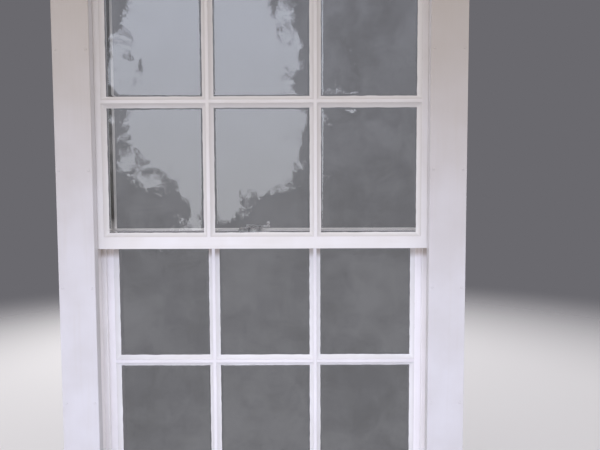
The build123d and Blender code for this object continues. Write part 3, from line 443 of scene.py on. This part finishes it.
def bare_softwood(name, along):
    """Sawn and planed redwood left bare: pale earlywood, darker rings and a dull face."""
    material, tree, place = new_material(name)
    stretched = {"x": (1, 14, 14), "z": (14, 14, 1)}[along]
    lengthways = add(tree, "ShaderNodeMapping", {"Vector": place, "Scale": stretched})
    # Growth rings are about 3 mm apart; these are twice as wide, so that they show
    rings = add(tree, "ShaderNodeTexNoise",
                {"Vector": lengthways.outputs[0], "Scale": 11.0, "Detail": 4.0, "Distortion": 1.2})
    fibres = add(tree, "ShaderNodeTexNoise",
                 {"Vector": lengthways.outputs[0], "Scale": 70.0, "Detail": 2.0})
    band = add(tree, "ShaderNodeMapRange",
               {"Value": rings.outputs[0], "From Min": 0.38, "From Max": 0.62})
    colour = add(tree, "ShaderNodeMix",
                 {0: band.outputs["Result"], MIX_A: linear("9d7c58"), MIX_B: linear("bea482")},
                 data_type="RGBA")
    # A century of dust greys it
    dust = add(tree, "ShaderNodeTexNoise", {"Vector": place, "Scale": 6.0, "Detail": 3.0})
    grey = add(tree, "ShaderNodeMapRange",
               {"Value": dust.outputs[0], "From Min": 0.4, "From Max": 0.7, "To Min": 0.2, "To Max": 0.6})
    dusty = add(tree, "ShaderNodeMix",
                {0: grey.outputs["Result"], MIX_A: colour.outputs[MIX_OUT], MIX_B: linear("8f7f68")},
                data_type="RGBA")
    soft = add(tree, "ShaderNodeBevel", {"Radius": 0.6 * MM}, samples=4)
    furred = add(tree, "ShaderNodeBump",
                 {"Height": fibres.outputs[0], "Strength": 0.4, "Distance": 0.3 * MM,
                  "Normal": soft.outputs[0]})
    ribbed = add(tree, "ShaderNodeBump",
                 {"Height": rings.outputs[0], "Strength": 0.3, "Distance": 0.5 * MM,
                  "Normal": furred.outputs[0]})
    wood = add(tree, "ShaderNodeBsdfPrincipled",
               {"Base Color": dusty.outputs[MIX_OUT], "Roughness": 0.78, "Normal": ribbed.outputs[0]})
    add(tree, "ShaderNodeOutputMaterial", {"Surface": wood.outputs[0]})
    return material


def cylinder_glass():
    """Hand-blown cylinder glass, flattened in the kiln: clear, faintly green, with long
    waves that are in the panes' own shape. A film of dust dulls it a little."""
    material, tree, place = new_material("cylinder_glass")
    # The film lies in clouds of some 70 mm
    film = add(tree, "ShaderNodeTexNoise", {"Vector": place, "Scale": 14.0, "Detail": 4.0})
    clear = add(tree, "ShaderNodeMapRange",
                {"Value": film.outputs[0], "From Min": 0.4, "From Max": 0.7})
    tint = add(tree, "ShaderNodeMix",
               {0: clear.outputs["Result"], MIX_A: linear("f5f6f5"), MIX_B: linear("eff0ee")},
               data_type="RGBA")
    glass = add(tree, "ShaderNodeBsdfPrincipled",
                {"Base Color": tint.outputs[MIX_OUT], "Roughness": 0.0, "IOR": 1.52,
                 "Transmission Weight": 1.0})
    add(tree, "ShaderNodeOutputMaterial", {"Surface": glass.outputs[0]})
    return material


def painted_putty(name, coats, dust):
    """Linseed putty run by hand with a knife and painted over: smooth, a little uneven,
    and a shade greyer than the timber, with dirt and painted shade in its corners and towards its top."""
    material, tree, place = new_material(name)
    # The knife drags and lifts every 20 mm or so
    lumps = add(tree, "ShaderNodeTexNoise", {"Vector": place, "Scale": 45.0, "Detail": 3.0})
    patches = add(tree, "ShaderNodeTexNoise", {"Vector": place, "Scale": 9.0, "Detail": 3.0})
    tone = add(tree, "ShaderNodeMapRange",
               {"Value": patches.outputs[0], "From Min": 0.35, "From Max": 0.7})
    base = add(tree, "ShaderNodeMix",
               {0: tone.outputs["Result"], MIX_A: linear(coats[0]), MIX_B: linear(coats[1])},
               data_type="RGBA")
    # Darker near inside corners: dirt, and painted shade
    corners = add(tree, "ShaderNodeAmbientOcclusion", {"Distance": 10 * MM}, samples=6)
    corner_dirt_and_shade = add(tree, "ShaderNodeMapRange",
               {"Value": corners.outputs["AO"], "From Min": 0.35, "From Max": 0.9,
                "To Min": 0.2, "To Max": 0.0})
    # Towards the top the putty is painted darker: painted shade of what hangs over it, and a film of dust
    height = add(tree, "ShaderNodeSeparateXYZ", {"Vector": place}).outputs["Z"]
    shade = add(tree, "ShaderNodeMapRange",
                {"Value": height, "From Min": DUST_AND_SHADE_HEIGHTS[0] * MM, "From Max": DUST_AND_SHADE_HEIGHTS[1] * MM,
                 "To Min": 0.0, "To Max": dust}, interpolation_type="SMOOTHSTEP")
    # Browner where the putty meets the timber, by a weight on each point
    browning = add(tree, "ShaderNodeAttribute", attribute_name="browning")
    broken = add(tree, "ShaderNodeMapRange",
                 {"Value": patches.outputs[0], "From Min": 0.3, "From Max": 0.6,
                  "To Min": 0.45, "To Max": 1.0})
    line = add(tree, "ShaderNodeMath", {0: browning.outputs["Fac"], 1: broken.outputs["Result"]},
               operation="MULTIPLY")
    colour = base.outputs[MIX_OUT]
    for share, tint in ((corner_dirt_and_shade.outputs["Result"], PUTTY_CORNER_DIRT_AND_SHADE), (shade.outputs["Result"], DUST_AND_SHADE_FILM),
                        (line.outputs[0], PUTTY_LINE)):
        over = add(tree, "ShaderNodeMix", {0: share, MIX_A: colour, MIX_B: linear(tint)},
                   data_type="RGBA")
        colour = over.outputs[MIX_OUT]
    bump = add(tree, "ShaderNodeBump",
               {"Height": lumps.outputs[0], "Strength": 0.35, "Distance": 0.6 * MM})
    putty = add(tree, "ShaderNodeBsdfPrincipled",
                {"Base Color": colour, "Roughness": 0.42, "Normal": bump.outputs[0],
                 "IOR": PAINT_IOR})
    add(tree, "ShaderNodeOutputMaterial", {"Surface": putty.outputs[0]})
    return material


def cotton_cord():
    """Braided and waxed cotton sash line: a close plait in a dull cream, grey with
    handling, painted darker in the hollows between the strands as painted shade. The plait is read round
    the cord from its map and along it by height, so it keeps its size while the cord runs."""
    material, tree, place = new_material("braided_cotton")
    round_it = add(tree, "ShaderNodeSeparateXYZ", {"Vector": place.node.outputs["UV"]})
    height = add(tree, "ShaderNodeSeparateXYZ", {"Vector": place})
    # Four strands each way round a 6 mm cord, crossing every 4 mm along it
    turns = add(tree, "ShaderNodeMath", {0: round_it.outputs["X"], 1: 4.0}, operation="MULTIPLY")
    picks = add(tree, "ShaderNodeMath", {0: height.outputs["Z"], 1: 1 / (8 * MM)}, operation="MULTIPLY")
    left = add(tree, "ShaderNodeMath", {0: turns.outputs[0], 1: picks.outputs[0]}, operation="ADD")
    right = add(tree, "ShaderNodeMath", {0: turns.outputs[0], 1: picks.outputs[0]},
                operation="SUBTRACT")
    swells = []
    for way in (left, right):
        angle = add(tree, "ShaderNodeMath", {0: way.outputs[0], 1: 2 * math.pi},
                    operation="MULTIPLY")
        wave = add(tree, "ShaderNodeMath", {0: angle.outputs[0]}, operation="COSINE")
        swells.append(wave.outputs[0])
    plait = add(tree, "ShaderNodeMath", {0: swells[0], 1: swells[1]}, operation="MULTIPLY")
    raised = add(tree, "ShaderNodeMapRange",
                 {"Value": plait.outputs[0], "From Min": -1.0, "From Max": 1.0})
    # Loose fibres are finer than this 1 mm, which is as fine as can show
    fluff = add(tree, "ShaderNodeTexNoise", {"Vector": place, "Scale": 900.0, "Detail": 2.0})
    # The hollows between the strands are darker: painted shade
    colour = add(tree, "ShaderNodeMix",
                 {0: raised.outputs["Result"], MIX_A: linear("8e8268"), MIX_B: linear("cfc3a4")},
                 data_type="RGBA")
    strands = add(tree, "ShaderNodeBump",
                  {"Height": raised.outputs["Result"], "Strength": 0.8, "Distance": 0.6 * MM})
    fuzzy = add(tree, "ShaderNodeBump",
                {"Height": fluff.outputs[0], "Strength": 0.3, "Distance": 0.2 * MM,
                 "Normal": strands.outputs[0]})
    cotton = add(tree, "ShaderNodeBsdfPrincipled",
                 {"Base Color": colour.outputs[MIX_OUT], "Roughness": 0.85,
                  "Normal": fuzzy.outputs[0], "Sheen Weight": 0.25, "Sheen Roughness": 0.5})
    add(tree, "ShaderNodeOutputMaterial", {"Surface": cotton.outputs[0]})
    return material


def cast_iron():
    """Grey iron as it left the sand: black-brown, rough, with rust in the hollows."""
    material, tree, place = new_material("sand_cast_iron")
    # Moulding sand has grains of 0.3 mm; these are 2.4 mm, so that they show
    sand = add(tree, "ShaderNodeTexNoise", {"Vector": place, "Scale": 420.0, "Detail": 3.0})
    rust = add(tree, "ShaderNodeTexNoise", {"Vector": place, "Scale": 30.0, "Detail": 6.0})
    spread = add(tree, "ShaderNodeMapRange",
                 {"Value": rust.outputs[0], "From Min": 0.45, "From Max": 0.7})
    colour = add(tree, "ShaderNodeMix",
                 {0: spread.outputs["Result"], MIX_A: linear("3b3835"), MIX_B: linear("6b4632")},
                 data_type="RGBA")
    shine = add(tree, "ShaderNodeMapRange",
                {"Value": spread.outputs["Result"], "To Min": 0.55, "To Max": 0.9})
    bump = add(tree, "ShaderNodeBump",
               {"Height": sand.outputs[0], "Strength": 0.6, "Distance": 0.5 * MM})
    iron = add(tree, "ShaderNodeBsdfPrincipled",
               {"Base Color": colour.outputs[MIX_OUT], "Metallic": 0.4,
                "Roughness": shine.outputs["Result"], "Normal": bump.outputs[0]})
    add(tree, "ShaderNodeOutputMaterial", {"Surface": iron.outputs[0]})
    return material


def worn_metal(name, bright, dark, shine, dull, scale):
    """Metal that hands or a bearing keep bright in places, and that tarnishes elsewhere
    in blotches of 12 to 18 mm, with scratches 1 mm apart."""
    material, tree, place = new_material(name)
    blotches = add(tree, "ShaderNodeTexNoise",
                   {"Vector": place, "Scale": scale, "Detail": 5.0, "Roughness": 0.6})
    scratches = add(tree, "ShaderNodeTexNoise",
                    {"Vector": place, "Scale": 900.0, "Detail": 2.0})
    soft = add(tree, "ShaderNodeBevel", {"Radius": 0.5 * MM}, samples=4)
    tarnish = add(tree, "ShaderNodeMapRange",
                  {"Value": blotches.outputs[0], "From Min": 0.38, "From Max": 0.62})
    colour = add(tree, "ShaderNodeMix",
                 {0: tarnish.outputs["Result"], MIX_A: linear(bright), MIX_B: linear(dark)},
                 data_type="RGBA")
    rough = add(tree, "ShaderNodeMapRange",
                {"Value": tarnish.outputs["Result"], "To Min": shine, "To Max": dull})
    bump = add(tree, "ShaderNodeBump",
               {"Height": scratches.outputs[0], "Strength": 0.15, "Distance": 0.1 * MM,
                "Normal": soft.outputs[0]})
    metal = add(tree, "ShaderNodeBsdfPrincipled",
                {"Base Color": colour.outputs[MIX_OUT], "Metallic": 1.0,
                 "Roughness": rough.outputs["Result"], "Normal": bump.outputs[0]})
    add(tree, "ShaderNodeOutputMaterial", {"Surface": metal.outputs[0]})
    return material


def both_ways(make, name, *facts):
    """A material for upright pieces and one for level ones, since the grain runs along them."""
    return make(f"{name}_upright", "z", *facts), make(f"{name}_level", "x", *facts)


# The darker and the lighter white of each newest coat, and the dust and painted shade at its top. The
# whites are partly painted light: darker on the frame in front, and lighter on the recessed lower sash,
# its putty and its runs, to lift them against the shade of their recess
FRAME_COATS = ("cfcdd0", "d7d6db")
OLD_SASH_COATS = ("e2e0df", "e9e8ea")
NEW_SASH_LIT_COATS = ("e3e1e4", "ebe9ed")
RECESS_LIT_COATS = ("efedef", "f6f4f7")
OLD_PUTTY_COATS = ("e2e0df", "eae9ea")
NEW_PUTTY_LIT_COATS = ("e6e5e6", "efeff2")
FRAME_DUST_AND_SHADE = 0.74
OLD_SASH_DUST_AND_SHADE = 0.55
NEW_SASH_DUST_AND_SHADE = 0.5
OLD_PUTTY_DUST_AND_SHADE = 0.45

FRAME_PAINT = both_ways(painted_timber, "gloss_paint", FRAME_COATS, FRAME_DUST_AND_SHADE)
SASH_PAINT = {"upper": both_ways(painted_timber, "older_paint", OLD_SASH_COATS, OLD_SASH_DUST_AND_SHADE),
              "lower": both_ways(painted_timber, "newer_paint", NEW_SASH_LIT_COATS, NEW_SASH_DUST_AND_SHADE)}
SHELTERED_PAINT = painted_timber("sheltered_paint", "z", RECESS_LIT_COATS, 0.0, sheltered=True)
BARE_WOOD = both_ways(bare_softwood, "redwood")
GLASS = cylinder_glass()
PUTTY = {"upper": painted_putty("older_painted_putty", OLD_PUTTY_COATS, OLD_PUTTY_DUST_AND_SHADE),
         "lower": painted_putty("newer_lit_painted_putty", NEW_PUTTY_LIT_COATS, 0.0)}
COTTON = cotton_cord()

# Slots that have one material for all their pieces
ONE_MATERIAL = {
    "old_glass": GLASS,
    "painted_putty": PUTTY["upper"],
    "cotton_cord": COTTON,
    "cast_iron": cast_iron(),
    "pulley_brass": worn_metal("worn_pulley_brass", "c9a25a", "7c6236", 0.3, 0.55, 55.0),
    "bright_steel": worn_metal("drawn_steel_pin", "b9b9b8", "83807b", 0.25, 0.45, 80.0),
    "brass_screws": worn_metal("worn_screw_brass", "b8924f", "6d5530", 0.32, 0.6, 70.0),
    "aged_brass": worn_metal("tarnished_brass", "d6d3d4", "67646a", 0.16, 0.42, 60.0),
}
# Pieces whose names hold one of these words lie level
LEVEL_WORDS = ("sill", "head", "rail", "cross", "blocks")
SHELTERED_RUNS = ("lower_stile", "parting_bead", "pulley_stile", "staff_bead")

for part in frame["record"]["subparts"]:
    name, slot = part["node"], part["material_slot"]
    level = any(word in name for word in LEVEL_WORDS)
    if slot == "bare_softwood":
        material = BARE_WOOD[level]
    elif slot != "painted_timber":
        material = ONE_MATERIAL[slot]
    elif name.startswith(SHELTERED_RUNS) and not level:
        material = SHELTERED_PAINT
    else:
        material = SASH_PAINT.get(name.split("_")[0], FRAME_PAINT)[level]
    shown = frame["nodes"][name]
    shown.data.materials.clear()
    shown.data.materials.append(material)


# Geometry Nodes


def node_group(name, sizes):
    """An empty geometry tree with a geometry in, one out, and named sizes."""
    group = bpy.data.node_groups.new(name, "GeometryNodeTree")
    group.interface.new_socket("Geometry", in_out="INPUT", socket_type="NodeSocketGeometry")
    for size, kind in sizes.items():
        group.interface.new_socket(size, in_out="INPUT", socket_type=kind)
    group.interface.new_socket("Geometry", in_out="OUTPUT", socket_type="NodeSocketGeometry")
    return group


def grown(source, group, values):
    """The plain mesh that a geometry tree makes of an object, with its inputs by name."""
    modifier = source.modifiers.new(group.name, "NODES")
    modifier.node_group = group
    for item in group.interface.items_tree:
        if item.in_out == "INPUT" and item.name in values:
            modifier[item.identifier] = values[item.name]
    graph = bpy.context.evaluated_depsgraph_get()
    mesh = bpy.data.meshes.new_from_object(source.evaluated_get(graph))
    source.modifiers.remove(modifier)
    # A tree that starts from a primitive brings an empty material slot with it
    while mesh.materials[0] is None:
        mesh.materials.pop(index=0)
    return mesh


def uneven_surface():
    """A tree that moves each point by smooth noise, as far as its weight lets it."""
    sizes = {"Push": "NodeSocketVector", "Length": "NodeSocketFloat", "Stretch": "NodeSocketVector",
             "Seed": "NodeSocketFloat", "Finish": "NodeSocketMaterial"}
    group = node_group("uneven_surface", sizes)
    given = add(group, "NodeGroupInput")
    place = add(group, "GeometryNodeInputPosition")
    scaled = add(group, "ShaderNodeVectorMath", {0: place.outputs[0], 1: given.outputs["Stretch"]},
                 operation="MULTIPLY")
    per_metre = add(group, "ShaderNodeMath", {0: 1.0, 1: given.outputs["Length"]}, operation="DIVIDE")
    noise = add(group, "ShaderNodeTexNoise",
                {"Vector": scaled.outputs[0], "W": given.outputs["Seed"], "Scale": per_metre.outputs[0],
                 "Detail": 1.5, "Roughness": 0.45}, noise_dimensions="4D")
    centred = add(group, "ShaderNodeVectorMath", {0: noise.outputs["Color"], 1: (0.5, 0.5, 0.5)},
                  operation="SUBTRACT")
    pushed = add(group, "ShaderNodeVectorMath", {0: centred.outputs[0], 1: given.outputs["Push"]},
                 operation="MULTIPLY")
    weight = add(group, "GeometryNodeInputNamedAttribute", {"Name": "free"}, data_type="FLOAT")
    eased = add(group, "ShaderNodeVectorMath",
                {0: pushed.outputs[0], "Scale": weight.outputs["Attribute"]}, operation="SCALE")
    moved = add(group, "GeometryNodeSetPosition",
                {"Geometry": given.outputs["Geometry"], "Offset": eased.outputs[0]})
    real = add(group, "GeometryNodeRealizeInstances", {"Geometry": moved.outputs[0]})
    finish = add(group, "GeometryNodeSetMaterial",
                 {"Geometry": real.outputs[0], "Material": given.outputs["Finish"]})
    add(group, "NodeGroupOutput", {"Geometry": finish.outputs[0]})
    return group


UNEVEN = uneven_surface()


def piece(name, mesh, body, replaced=()):
    """Put a finished mesh in the scene, riding on its body and standing for CAD nodes."""
    made = placed(name, mesh)
    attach(made, body)
    if replaced:
        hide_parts(*replaced)
    return made


def rough_object(vertices, faces, free):
    """A scratch object with a weight per vertex for how far it may move."""
    mesh = bpy.data.meshes.new("rough")
    mesh.from_pydata([Vector(v) * MM for v in vertices], [], faces)
    mesh.attributes.new("free", "FLOAT", "POINT").data.foreach_set("value", free)
    return placed("rough", mesh)


def pane_corners(sash):
    """Lower left corner of the sight opening of each pane."""
    pitch = PANE_WIDTH + BAR_WIDTH
    return [(-SIGHT_EDGE + column * pitch, row) for row in sash["rows"] for column in range(3)]


# Panes

PANE_STEPS = (18, 24)
EDGE_HOLD = 16.0
PANE_PUSH = 1.3
# Waves to the metre, across and up
PANE_WAVES = (14.0, 0.0, 8.0)


def pane_slabs(sash):
    """A sash's panes, as slabs whose two faces can wave together, but not at their edges."""
    vertices, faces, free = [], [], []
    front = sash["front"] + GLASS_FRONT
    wide, high = PANE_STEPS
    for x0, z0 in pane_corners(sash):
        start = len(vertices)
        for depth in (front, front + GLASS_THICKNESS):
            for j in range(high + 1):
                for i in range(wide + 1):
                    x = x0 - GLASS_LAP + (PANE_WIDTH + 2 * GLASS_LAP) * i / wide
                    z = z0 - GLASS_LAP + (sash["height"] + 2 * GLASS_LAP) * j / high
                    vertices.append((x, depth, z))
                    inside = min(x - x0, x0 + PANE_WIDTH - x, z - z0, z0 + sash["height"] - z)
                    free.append(min(1.0, max(0.0, inside / EDGE_HOLD)))
        layer = (wide + 1) * (high + 1)
        for j in range(high):
            for i in range(wide):
                a = start + j * (wide + 1) + i
                quad = (a, a + 1, a + wide + 2, a + wide + 1)
                faces.append(quad)
                faces.append(tuple(v + layer for v in reversed(quad)))
        # The rim runs round from the lower left corner and joins the two faces
        rim = list(range(wide + 1)) + [(j + 1) * (wide + 1) + wide for j in range(high)]
        rim += [high * (wide + 1) + i for i in range(wide - 1, -1, -1)]
        rim += [j * (wide + 1) for j in range(high - 1, 0, -1)]
        for k, a in enumerate(rim):
            b = rim[(k + 1) % len(rim)]
            faces.append((start + b, start + a, start + a + layer, start + b + layer))
    return rough_object(vertices, faces, free)


for name, sash in SASHES.items():
    rough = pane_slabs(sash)
    mesh = grown(rough, UNEVEN, {"Push": (0.0, PANE_PUSH * MM, 0.0), "Length": 1.0,
                                 "Stretch": PANE_WAVES, "Seed": SEED, "Finish": GLASS})
    bpy.data.objects.remove(rough)
    for polygon in mesh.polygons:
        polygon.use_smooth = abs(polygon.normal.y) > 0.9
    panes = piece(f"{name}_drawn_panes", mesh, f"{name}_sash", [f"{name}_panes"])
    # Clear glass lets the lamps' light on to what stands behind it
    panes.visible_shadow = False


# Putty

PUTTY_STEP = 5.0
# How far the knife strays along the pane's plane and through it, and how often
PUTTY_PUSH = (3.0, 0.5)
PUTTY_LUMP = 24.0
# How brown the first rings of the section are, next to the timber
PUTTY_EDGE_BROWNING = {"upper": (0.32, 0.27, 0.18, 0.06), "lower": (0.14, 0.12, 0.08, 0.0)}
# Offset outwards from the sight line, depth behind the sash's face, and how free it is
PUTTY_SECTION = (
    (9.0, 0.35, 0.0), (8.2, 1.0, 0.15), (6.2, 2.9, 0.5), (3.4, 5.9, 0.8), (0.9, 8.9, 1.0),
    (0.0, 9.62, 1.0), (-1.1, 9.86, 1.0), (-1.3, 10.04, 1.0), (0.4, 10.12, 0.8), (6.9, 10.12, 0.0),
    (6.9, 12.88, 0.0), (0.5, 12.88, 0.8), (-0.6, 13.02, 1.0), (-0.5, 13.45, 1.0), (0.2, 13.95, 0.6),
    (9.0, 13.98, 0.0),
)
# The rings of the front face, and how brown they are under the meeting rail, with dirt and painted shade
PUTTY_FRONT = 8
BAND_SHARE = 0.75
BAND_STEEPNESS = 1.6


def putty_runs(sash, edge_browning):
    """The putty round a sash's panes, in rings: down the bevel from the arris of the rebate,
    over the glass with a lap of paint, and back round the bed."""
    vertices, faces, free, browning = [], [], [], []
    middle, reach = SHADED_DIRTY_BAND
    rings = len(PUTTY_SECTION)
    for x0, z0 in pane_corners(sash):
        start = len(vertices)
        wide = round(PANE_WIDTH / PUTTY_STEP)
        high = round(sash["height"] / PUTTY_STEP)
        count = 2 * (wide + high)
        for place, (offset, depth, weight) in enumerate(PUTTY_SECTION):
            left, right = x0 - offset, x0 + PANE_WIDTH + offset
            low, top = z0 - offset, z0 + sash["height"] + offset
            loop = [(left + (right - left) * i / wide, low) for i in range(wide)]
            loop += [(right, low + (top - low) * j / high) for j in range(high)]
            loop += [(right + (left - right) * i / wide, top) for i in range(wide)]
            loop += [(left, top + (low - top) * j / high) for j in range(high)]
            for x, z in loop:
                vertices.append((x, sash["front"] + depth, z))
                free.append(weight)
                near = min(1.0, max(0.0, BAND_STEEPNESS * (1 - abs(z - middle) / reach)))
                band = BAND_SHARE * near if place < PUTTY_FRONT else 0.0
                browning.append(max(edge_browning[place] if place < len(edge_browning) else 0.0, band))
        for r in range(rings):
            for k in range(count):
                a = start + r * count + k
                b = start + r * count + (k + 1) % count
                step = ((r + 1) % rings - r) * count
                faces.append((a, b, b + step, a + step))
    made = rough_object(vertices, faces, free)
    made.data.attributes.new("browning", "FLOAT", "POINT").data.foreach_set("value", browning)
    return made


for name, sash in SASHES.items():
    rough = putty_runs(sash, PUTTY_EDGE_BROWNING[name])
    along, deep = (push * MM for push in PUTTY_PUSH)
    mesh = grown(rough, UNEVEN, {"Push": (along, deep, along), "Length": PUTTY_LUMP * MM,
                                 "Stretch": (1.0, 0.0, 1.0), "Seed": SEED + 1,
                                 "Finish": PUTTY[name]})
    bpy.data.objects.remove(rough)
    mesh.shade_smooth()
    piece(f"{name}_hand_run_putty", mesh, f"{name}_sash", [f"{name}_putty"])


# Cords

CORD_SIDES = 16
CORD_STEP = 6.0
WHEEL_STEPS = 14
# Where a cord bends into the knot's hole: half the bend's height, its lean and its steps
BEND_HALF = 4.0
BEND_LEAN = 0.8
BEND_STEP = 4.0
# A knot's steps along its line and round it, and its tube's share of its size
KNOT_STEPS = 48
KNOT_SIDES = 10
KNOT_TUBE = 0.4


def tube(path, radius, depth):
    """Vertices and faces of a round cord whose path lies in a plane at one depth."""
    vertices, faces = [], []
    for k, (x, z) in enumerate(path):
        before, after = path[max(k - 1, 0)], path[min(k + 1, len(path) - 1)]
        length = math.hypot(after[0] - before[0], after[1] - before[1])
        out = ((after[1] - before[1]) / length, -(after[0] - before[0]) / length)
        for s in range(CORD_SIDES):
            angle = 2 * math.pi * s / CORD_SIDES
            reach = radius * math.cos(angle)
            vertices.append((x + reach * out[0], depth + radius * math.sin(angle), z + reach * out[1]))
    for k in range(len(path) - 1):
        for s in range(CORD_SIDES):
            a, b = k * CORD_SIDES + s, k * CORD_SIDES + (s + 1) % CORD_SIDES
            faces.append((a, b, b + CORD_SIDES, a + CORD_SIDES))
    faces.append(tuple(range(CORD_SIDES - 1, -1, -1)))
    faces.append(tuple(range((len(path) - 1) * CORD_SIDES, len(path) * CORD_SIDES)))
    return vertices, faces


def sampled(a, b, step):
    """Points from a to b, without b."""
    count = max(1, round(math.dist(a, b) / step))
    return [(a[0] + (b[0] - a[0]) * i / count, a[1] + (b[1] - a[1]) * i / count)
            for i in range(count)]


def wheel_quarter(side, end):
    """The cord's quarter turn on the wheel, from its crest to a tangent point."""
    axle = CORD_LINE + WHEEL_CORD_RADIUS
    points = []
    for i in range(WHEEL_STEPS):
        angle = math.radians(90) * i / WHEEL_STEPS
        x = axle + end * WHEEL_CORD_RADIUS * math.sin(angle)
        points.append((side * x, AXLE_HEIGHT + WHEEL_CORD_RADIUS * math.cos(angle)))
    return points


def knot(x, depth, z, size):
    """A tight overhand knot, as a short thick tube on a trefoil line."""
    radius = KNOT_TUBE * size
    scale = (size - radius) / 3
    turns = [2 * math.pi * i / KNOT_STEPS for i in range(KNOT_STEPS)]
    centre = [(math.sin(t) + 2 * math.sin(2 * t), math.cos(t) - 2 * math.cos(2 * t),
               -1.4 * math.sin(3 * t)) for t in turns]
    points = [Vector((x + scale * p[0], depth + scale * p[1], z + scale * p[2])) for p in centre]
    vertices, faces = [], []
    for k, point in enumerate(points):
        after = (k + 1) % KNOT_STEPS
        along = (points[after] - points[k - 1]).normalized()
        out = along.cross(Vector((0, 0, 1))).normalized()
        over = along.cross(out)
        for s in range(KNOT_SIDES):
            angle = 2 * math.pi * s / KNOT_SIDES
            vertices.append(point + radius * (math.cos(angle) * out + math.sin(angle) * over))
            a, b = k * KNOT_SIDES + s, k * KNOT_SIDES + (s + 1) % KNOT_SIDES
            c, d = after * KNOT_SIDES + (s + 1) % KNOT_SIDES, after * KNOT_SIDES + s
            faces.append((a, b, c, d))
    return vertices, faces


def cord_piece(name, node, path, depth, knot_size):
    """One half of a cord, from the crest of the wheel to the knot at the end of its path."""
    vertices, faces = tube(path, CORD_RADIUS, depth)
    more, knotted = knot(path[-1][0], depth, path[-1][1], knot_size)
    base = len(vertices)
    mesh = bpy.data.meshes.new(name)
    mesh.from_pydata([Vector(v) * MM for v in [*vertices, *more]], [],
                     [*faces, *(tuple(v + base for v in f) for f in knotted)])
    round_map = mesh.uv_layers.new(name="round")
    for polygon in mesh.polygons:
        polygon.use_smooth = len(polygon.vertices) == 4
        inside = [v for v in polygon.vertices if v < base]
        sides = [v % CORD_SIDES for v in inside]
        wraps = inside and max(sides) - min(sides) > 1
        for corner, v in zip(polygon.loop_indices, polygon.vertices):
            turn = v % CORD_SIDES / CORD_SIDES if v < base else v % KNOT_SIDES / KNOT_SIDES
            if wraps and v % CORD_SIDES == 0:
                turn = 1.0
            round_map.data[corner].uv = (turn, 0.0)
    mesh.materials.append(COTTON)
    made = placed(name, mesh)
    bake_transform(made)
    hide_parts(node)


for name, cord in CORDS.items():
    for hand, side in (("left", -1), ("right", 1)):
        node = f"sash_cord_{name}_{hand}"
        depth = cord["depth"]
        neck = cord["sash_top"] - GROOVE_LENGTH
        knot_height = cord["sash_top"] - SASH_KNOT_DROP
        stops = [(side * CORD_LINE, AXLE_HEIGHT), (side * CORD_LINE, neck + BEND_HALF),
                 (side * (CORD_LINE - BEND_LEAN), neck - BEND_HALF),
                 (side * (KNOT_LINE + BEND_LEAN), knot_height + BEND_HALF)]
        path = wheel_quarter(side, -1)
        for a, b, step in zip(stops, stops[1:], (CORD_STEP, BEND_STEP, BEND_STEP)):
            path += sampled(a, b, step)
        path += [stops[-1], (side * KNOT_LINE, knot_height)]
        cord_piece(f"{node}_run", node, path, depth, SASH_KNOT_SIZE)
        weight_knot = cord["weight_top"] - WEIGHT_KNOT_DROP
        path = wheel_quarter(side, 1)
        path += sampled((side * WEIGHT_LINE, AXLE_HEIGHT), (side * WEIGHT_LINE, weight_knot), CORD_STEP)
        path.append((side * WEIGHT_LINE, weight_knot))
        cord_piece(f"{node}_fall", node, path, depth, WEIGHT_KNOT_SIZE)


# Nails

NAIL_SPACING = 260.0
NAIL_INSET = 9.0
NAIL_END = 40.0
# A head's radius, and how far it stands out
NAIL_HEAD = (3.2, 0.45)


def nail_rows():
    """A tree of low domes along each edge that it is given, for heads stopped and painted."""
    sizes = {"Spacing": "NodeSocketFloat", "Radius": "NodeSocketFloat", "Rise": "NodeSocketFloat",
             "Finish": "NodeSocketMaterial"}
    group = node_group("nail_rows", sizes)
    given = add(group, "NodeGroupInput")
    lines = add(group, "GeometryNodeMeshToCurve", {"Mesh": given.outputs["Geometry"]})
    places = add(group, "GeometryNodeCurveToPoints",
                 {"Curve": lines.outputs[0], "Length": given.outputs["Spacing"]}, mode="LENGTH")
    head = add(group, "GeometryNodeMeshUVSphere", {"Segments": 14, "Rings": 8, "Radius": 1.0})
    flat = add(group, "ShaderNodeCombineXYZ",
               {"X": given.outputs["Radius"], "Y": given.outputs["Rise"], "Z": given.outputs["Radius"]})
    heads = add(group, "GeometryNodeInstanceOnPoints",
                {"Points": places.outputs[0], "Instance": head.outputs["Mesh"],
                 "Scale": flat.outputs[0]})
    real = add(group, "GeometryNodeRealizeInstances", {"Geometry": heads.outputs[0]})
    finish = add(group, "GeometryNodeSetMaterial",
                 {"Geometry": real.outputs[0], "Material": given.outputs["Finish"]})
    add(group, "NodeGroupOutput", {"Geometry": finish.outputs[0]})
    return group


vertices = []
for board, face in (("outer_lining", 0), ("inner_lining", 1)):
    for hand in ("left", "right"):
        low, high = (Vector(corner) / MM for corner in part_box(f"{board}_{hand}"))
        depth = (low, high)[face].y
        for x in (low.x + NAIL_INSET, high.x - NAIL_INSET):
            vertices += [(x, depth, low.z + NAIL_END), (x, depth, high.z - NAIL_END)]
rough = rough_object(vertices, [], [0.0] * len(vertices))
rough.data.edges.add(len(vertices) // 2)
rough.data.edges.foreach_set("vertices", range(len(vertices)))
mesh = grown(rough, nail_rows(), {"Spacing": NAIL_SPACING * MM, "Radius": NAIL_HEAD[0] * MM,
                                  "Rise": NAIL_HEAD[1] * MM, "Finish": FRAME_PAINT[0]})
bpy.data.objects.remove(rough)
mesh.shade_smooth()
piece("stopped_nail_heads", mesh, "box_frame")
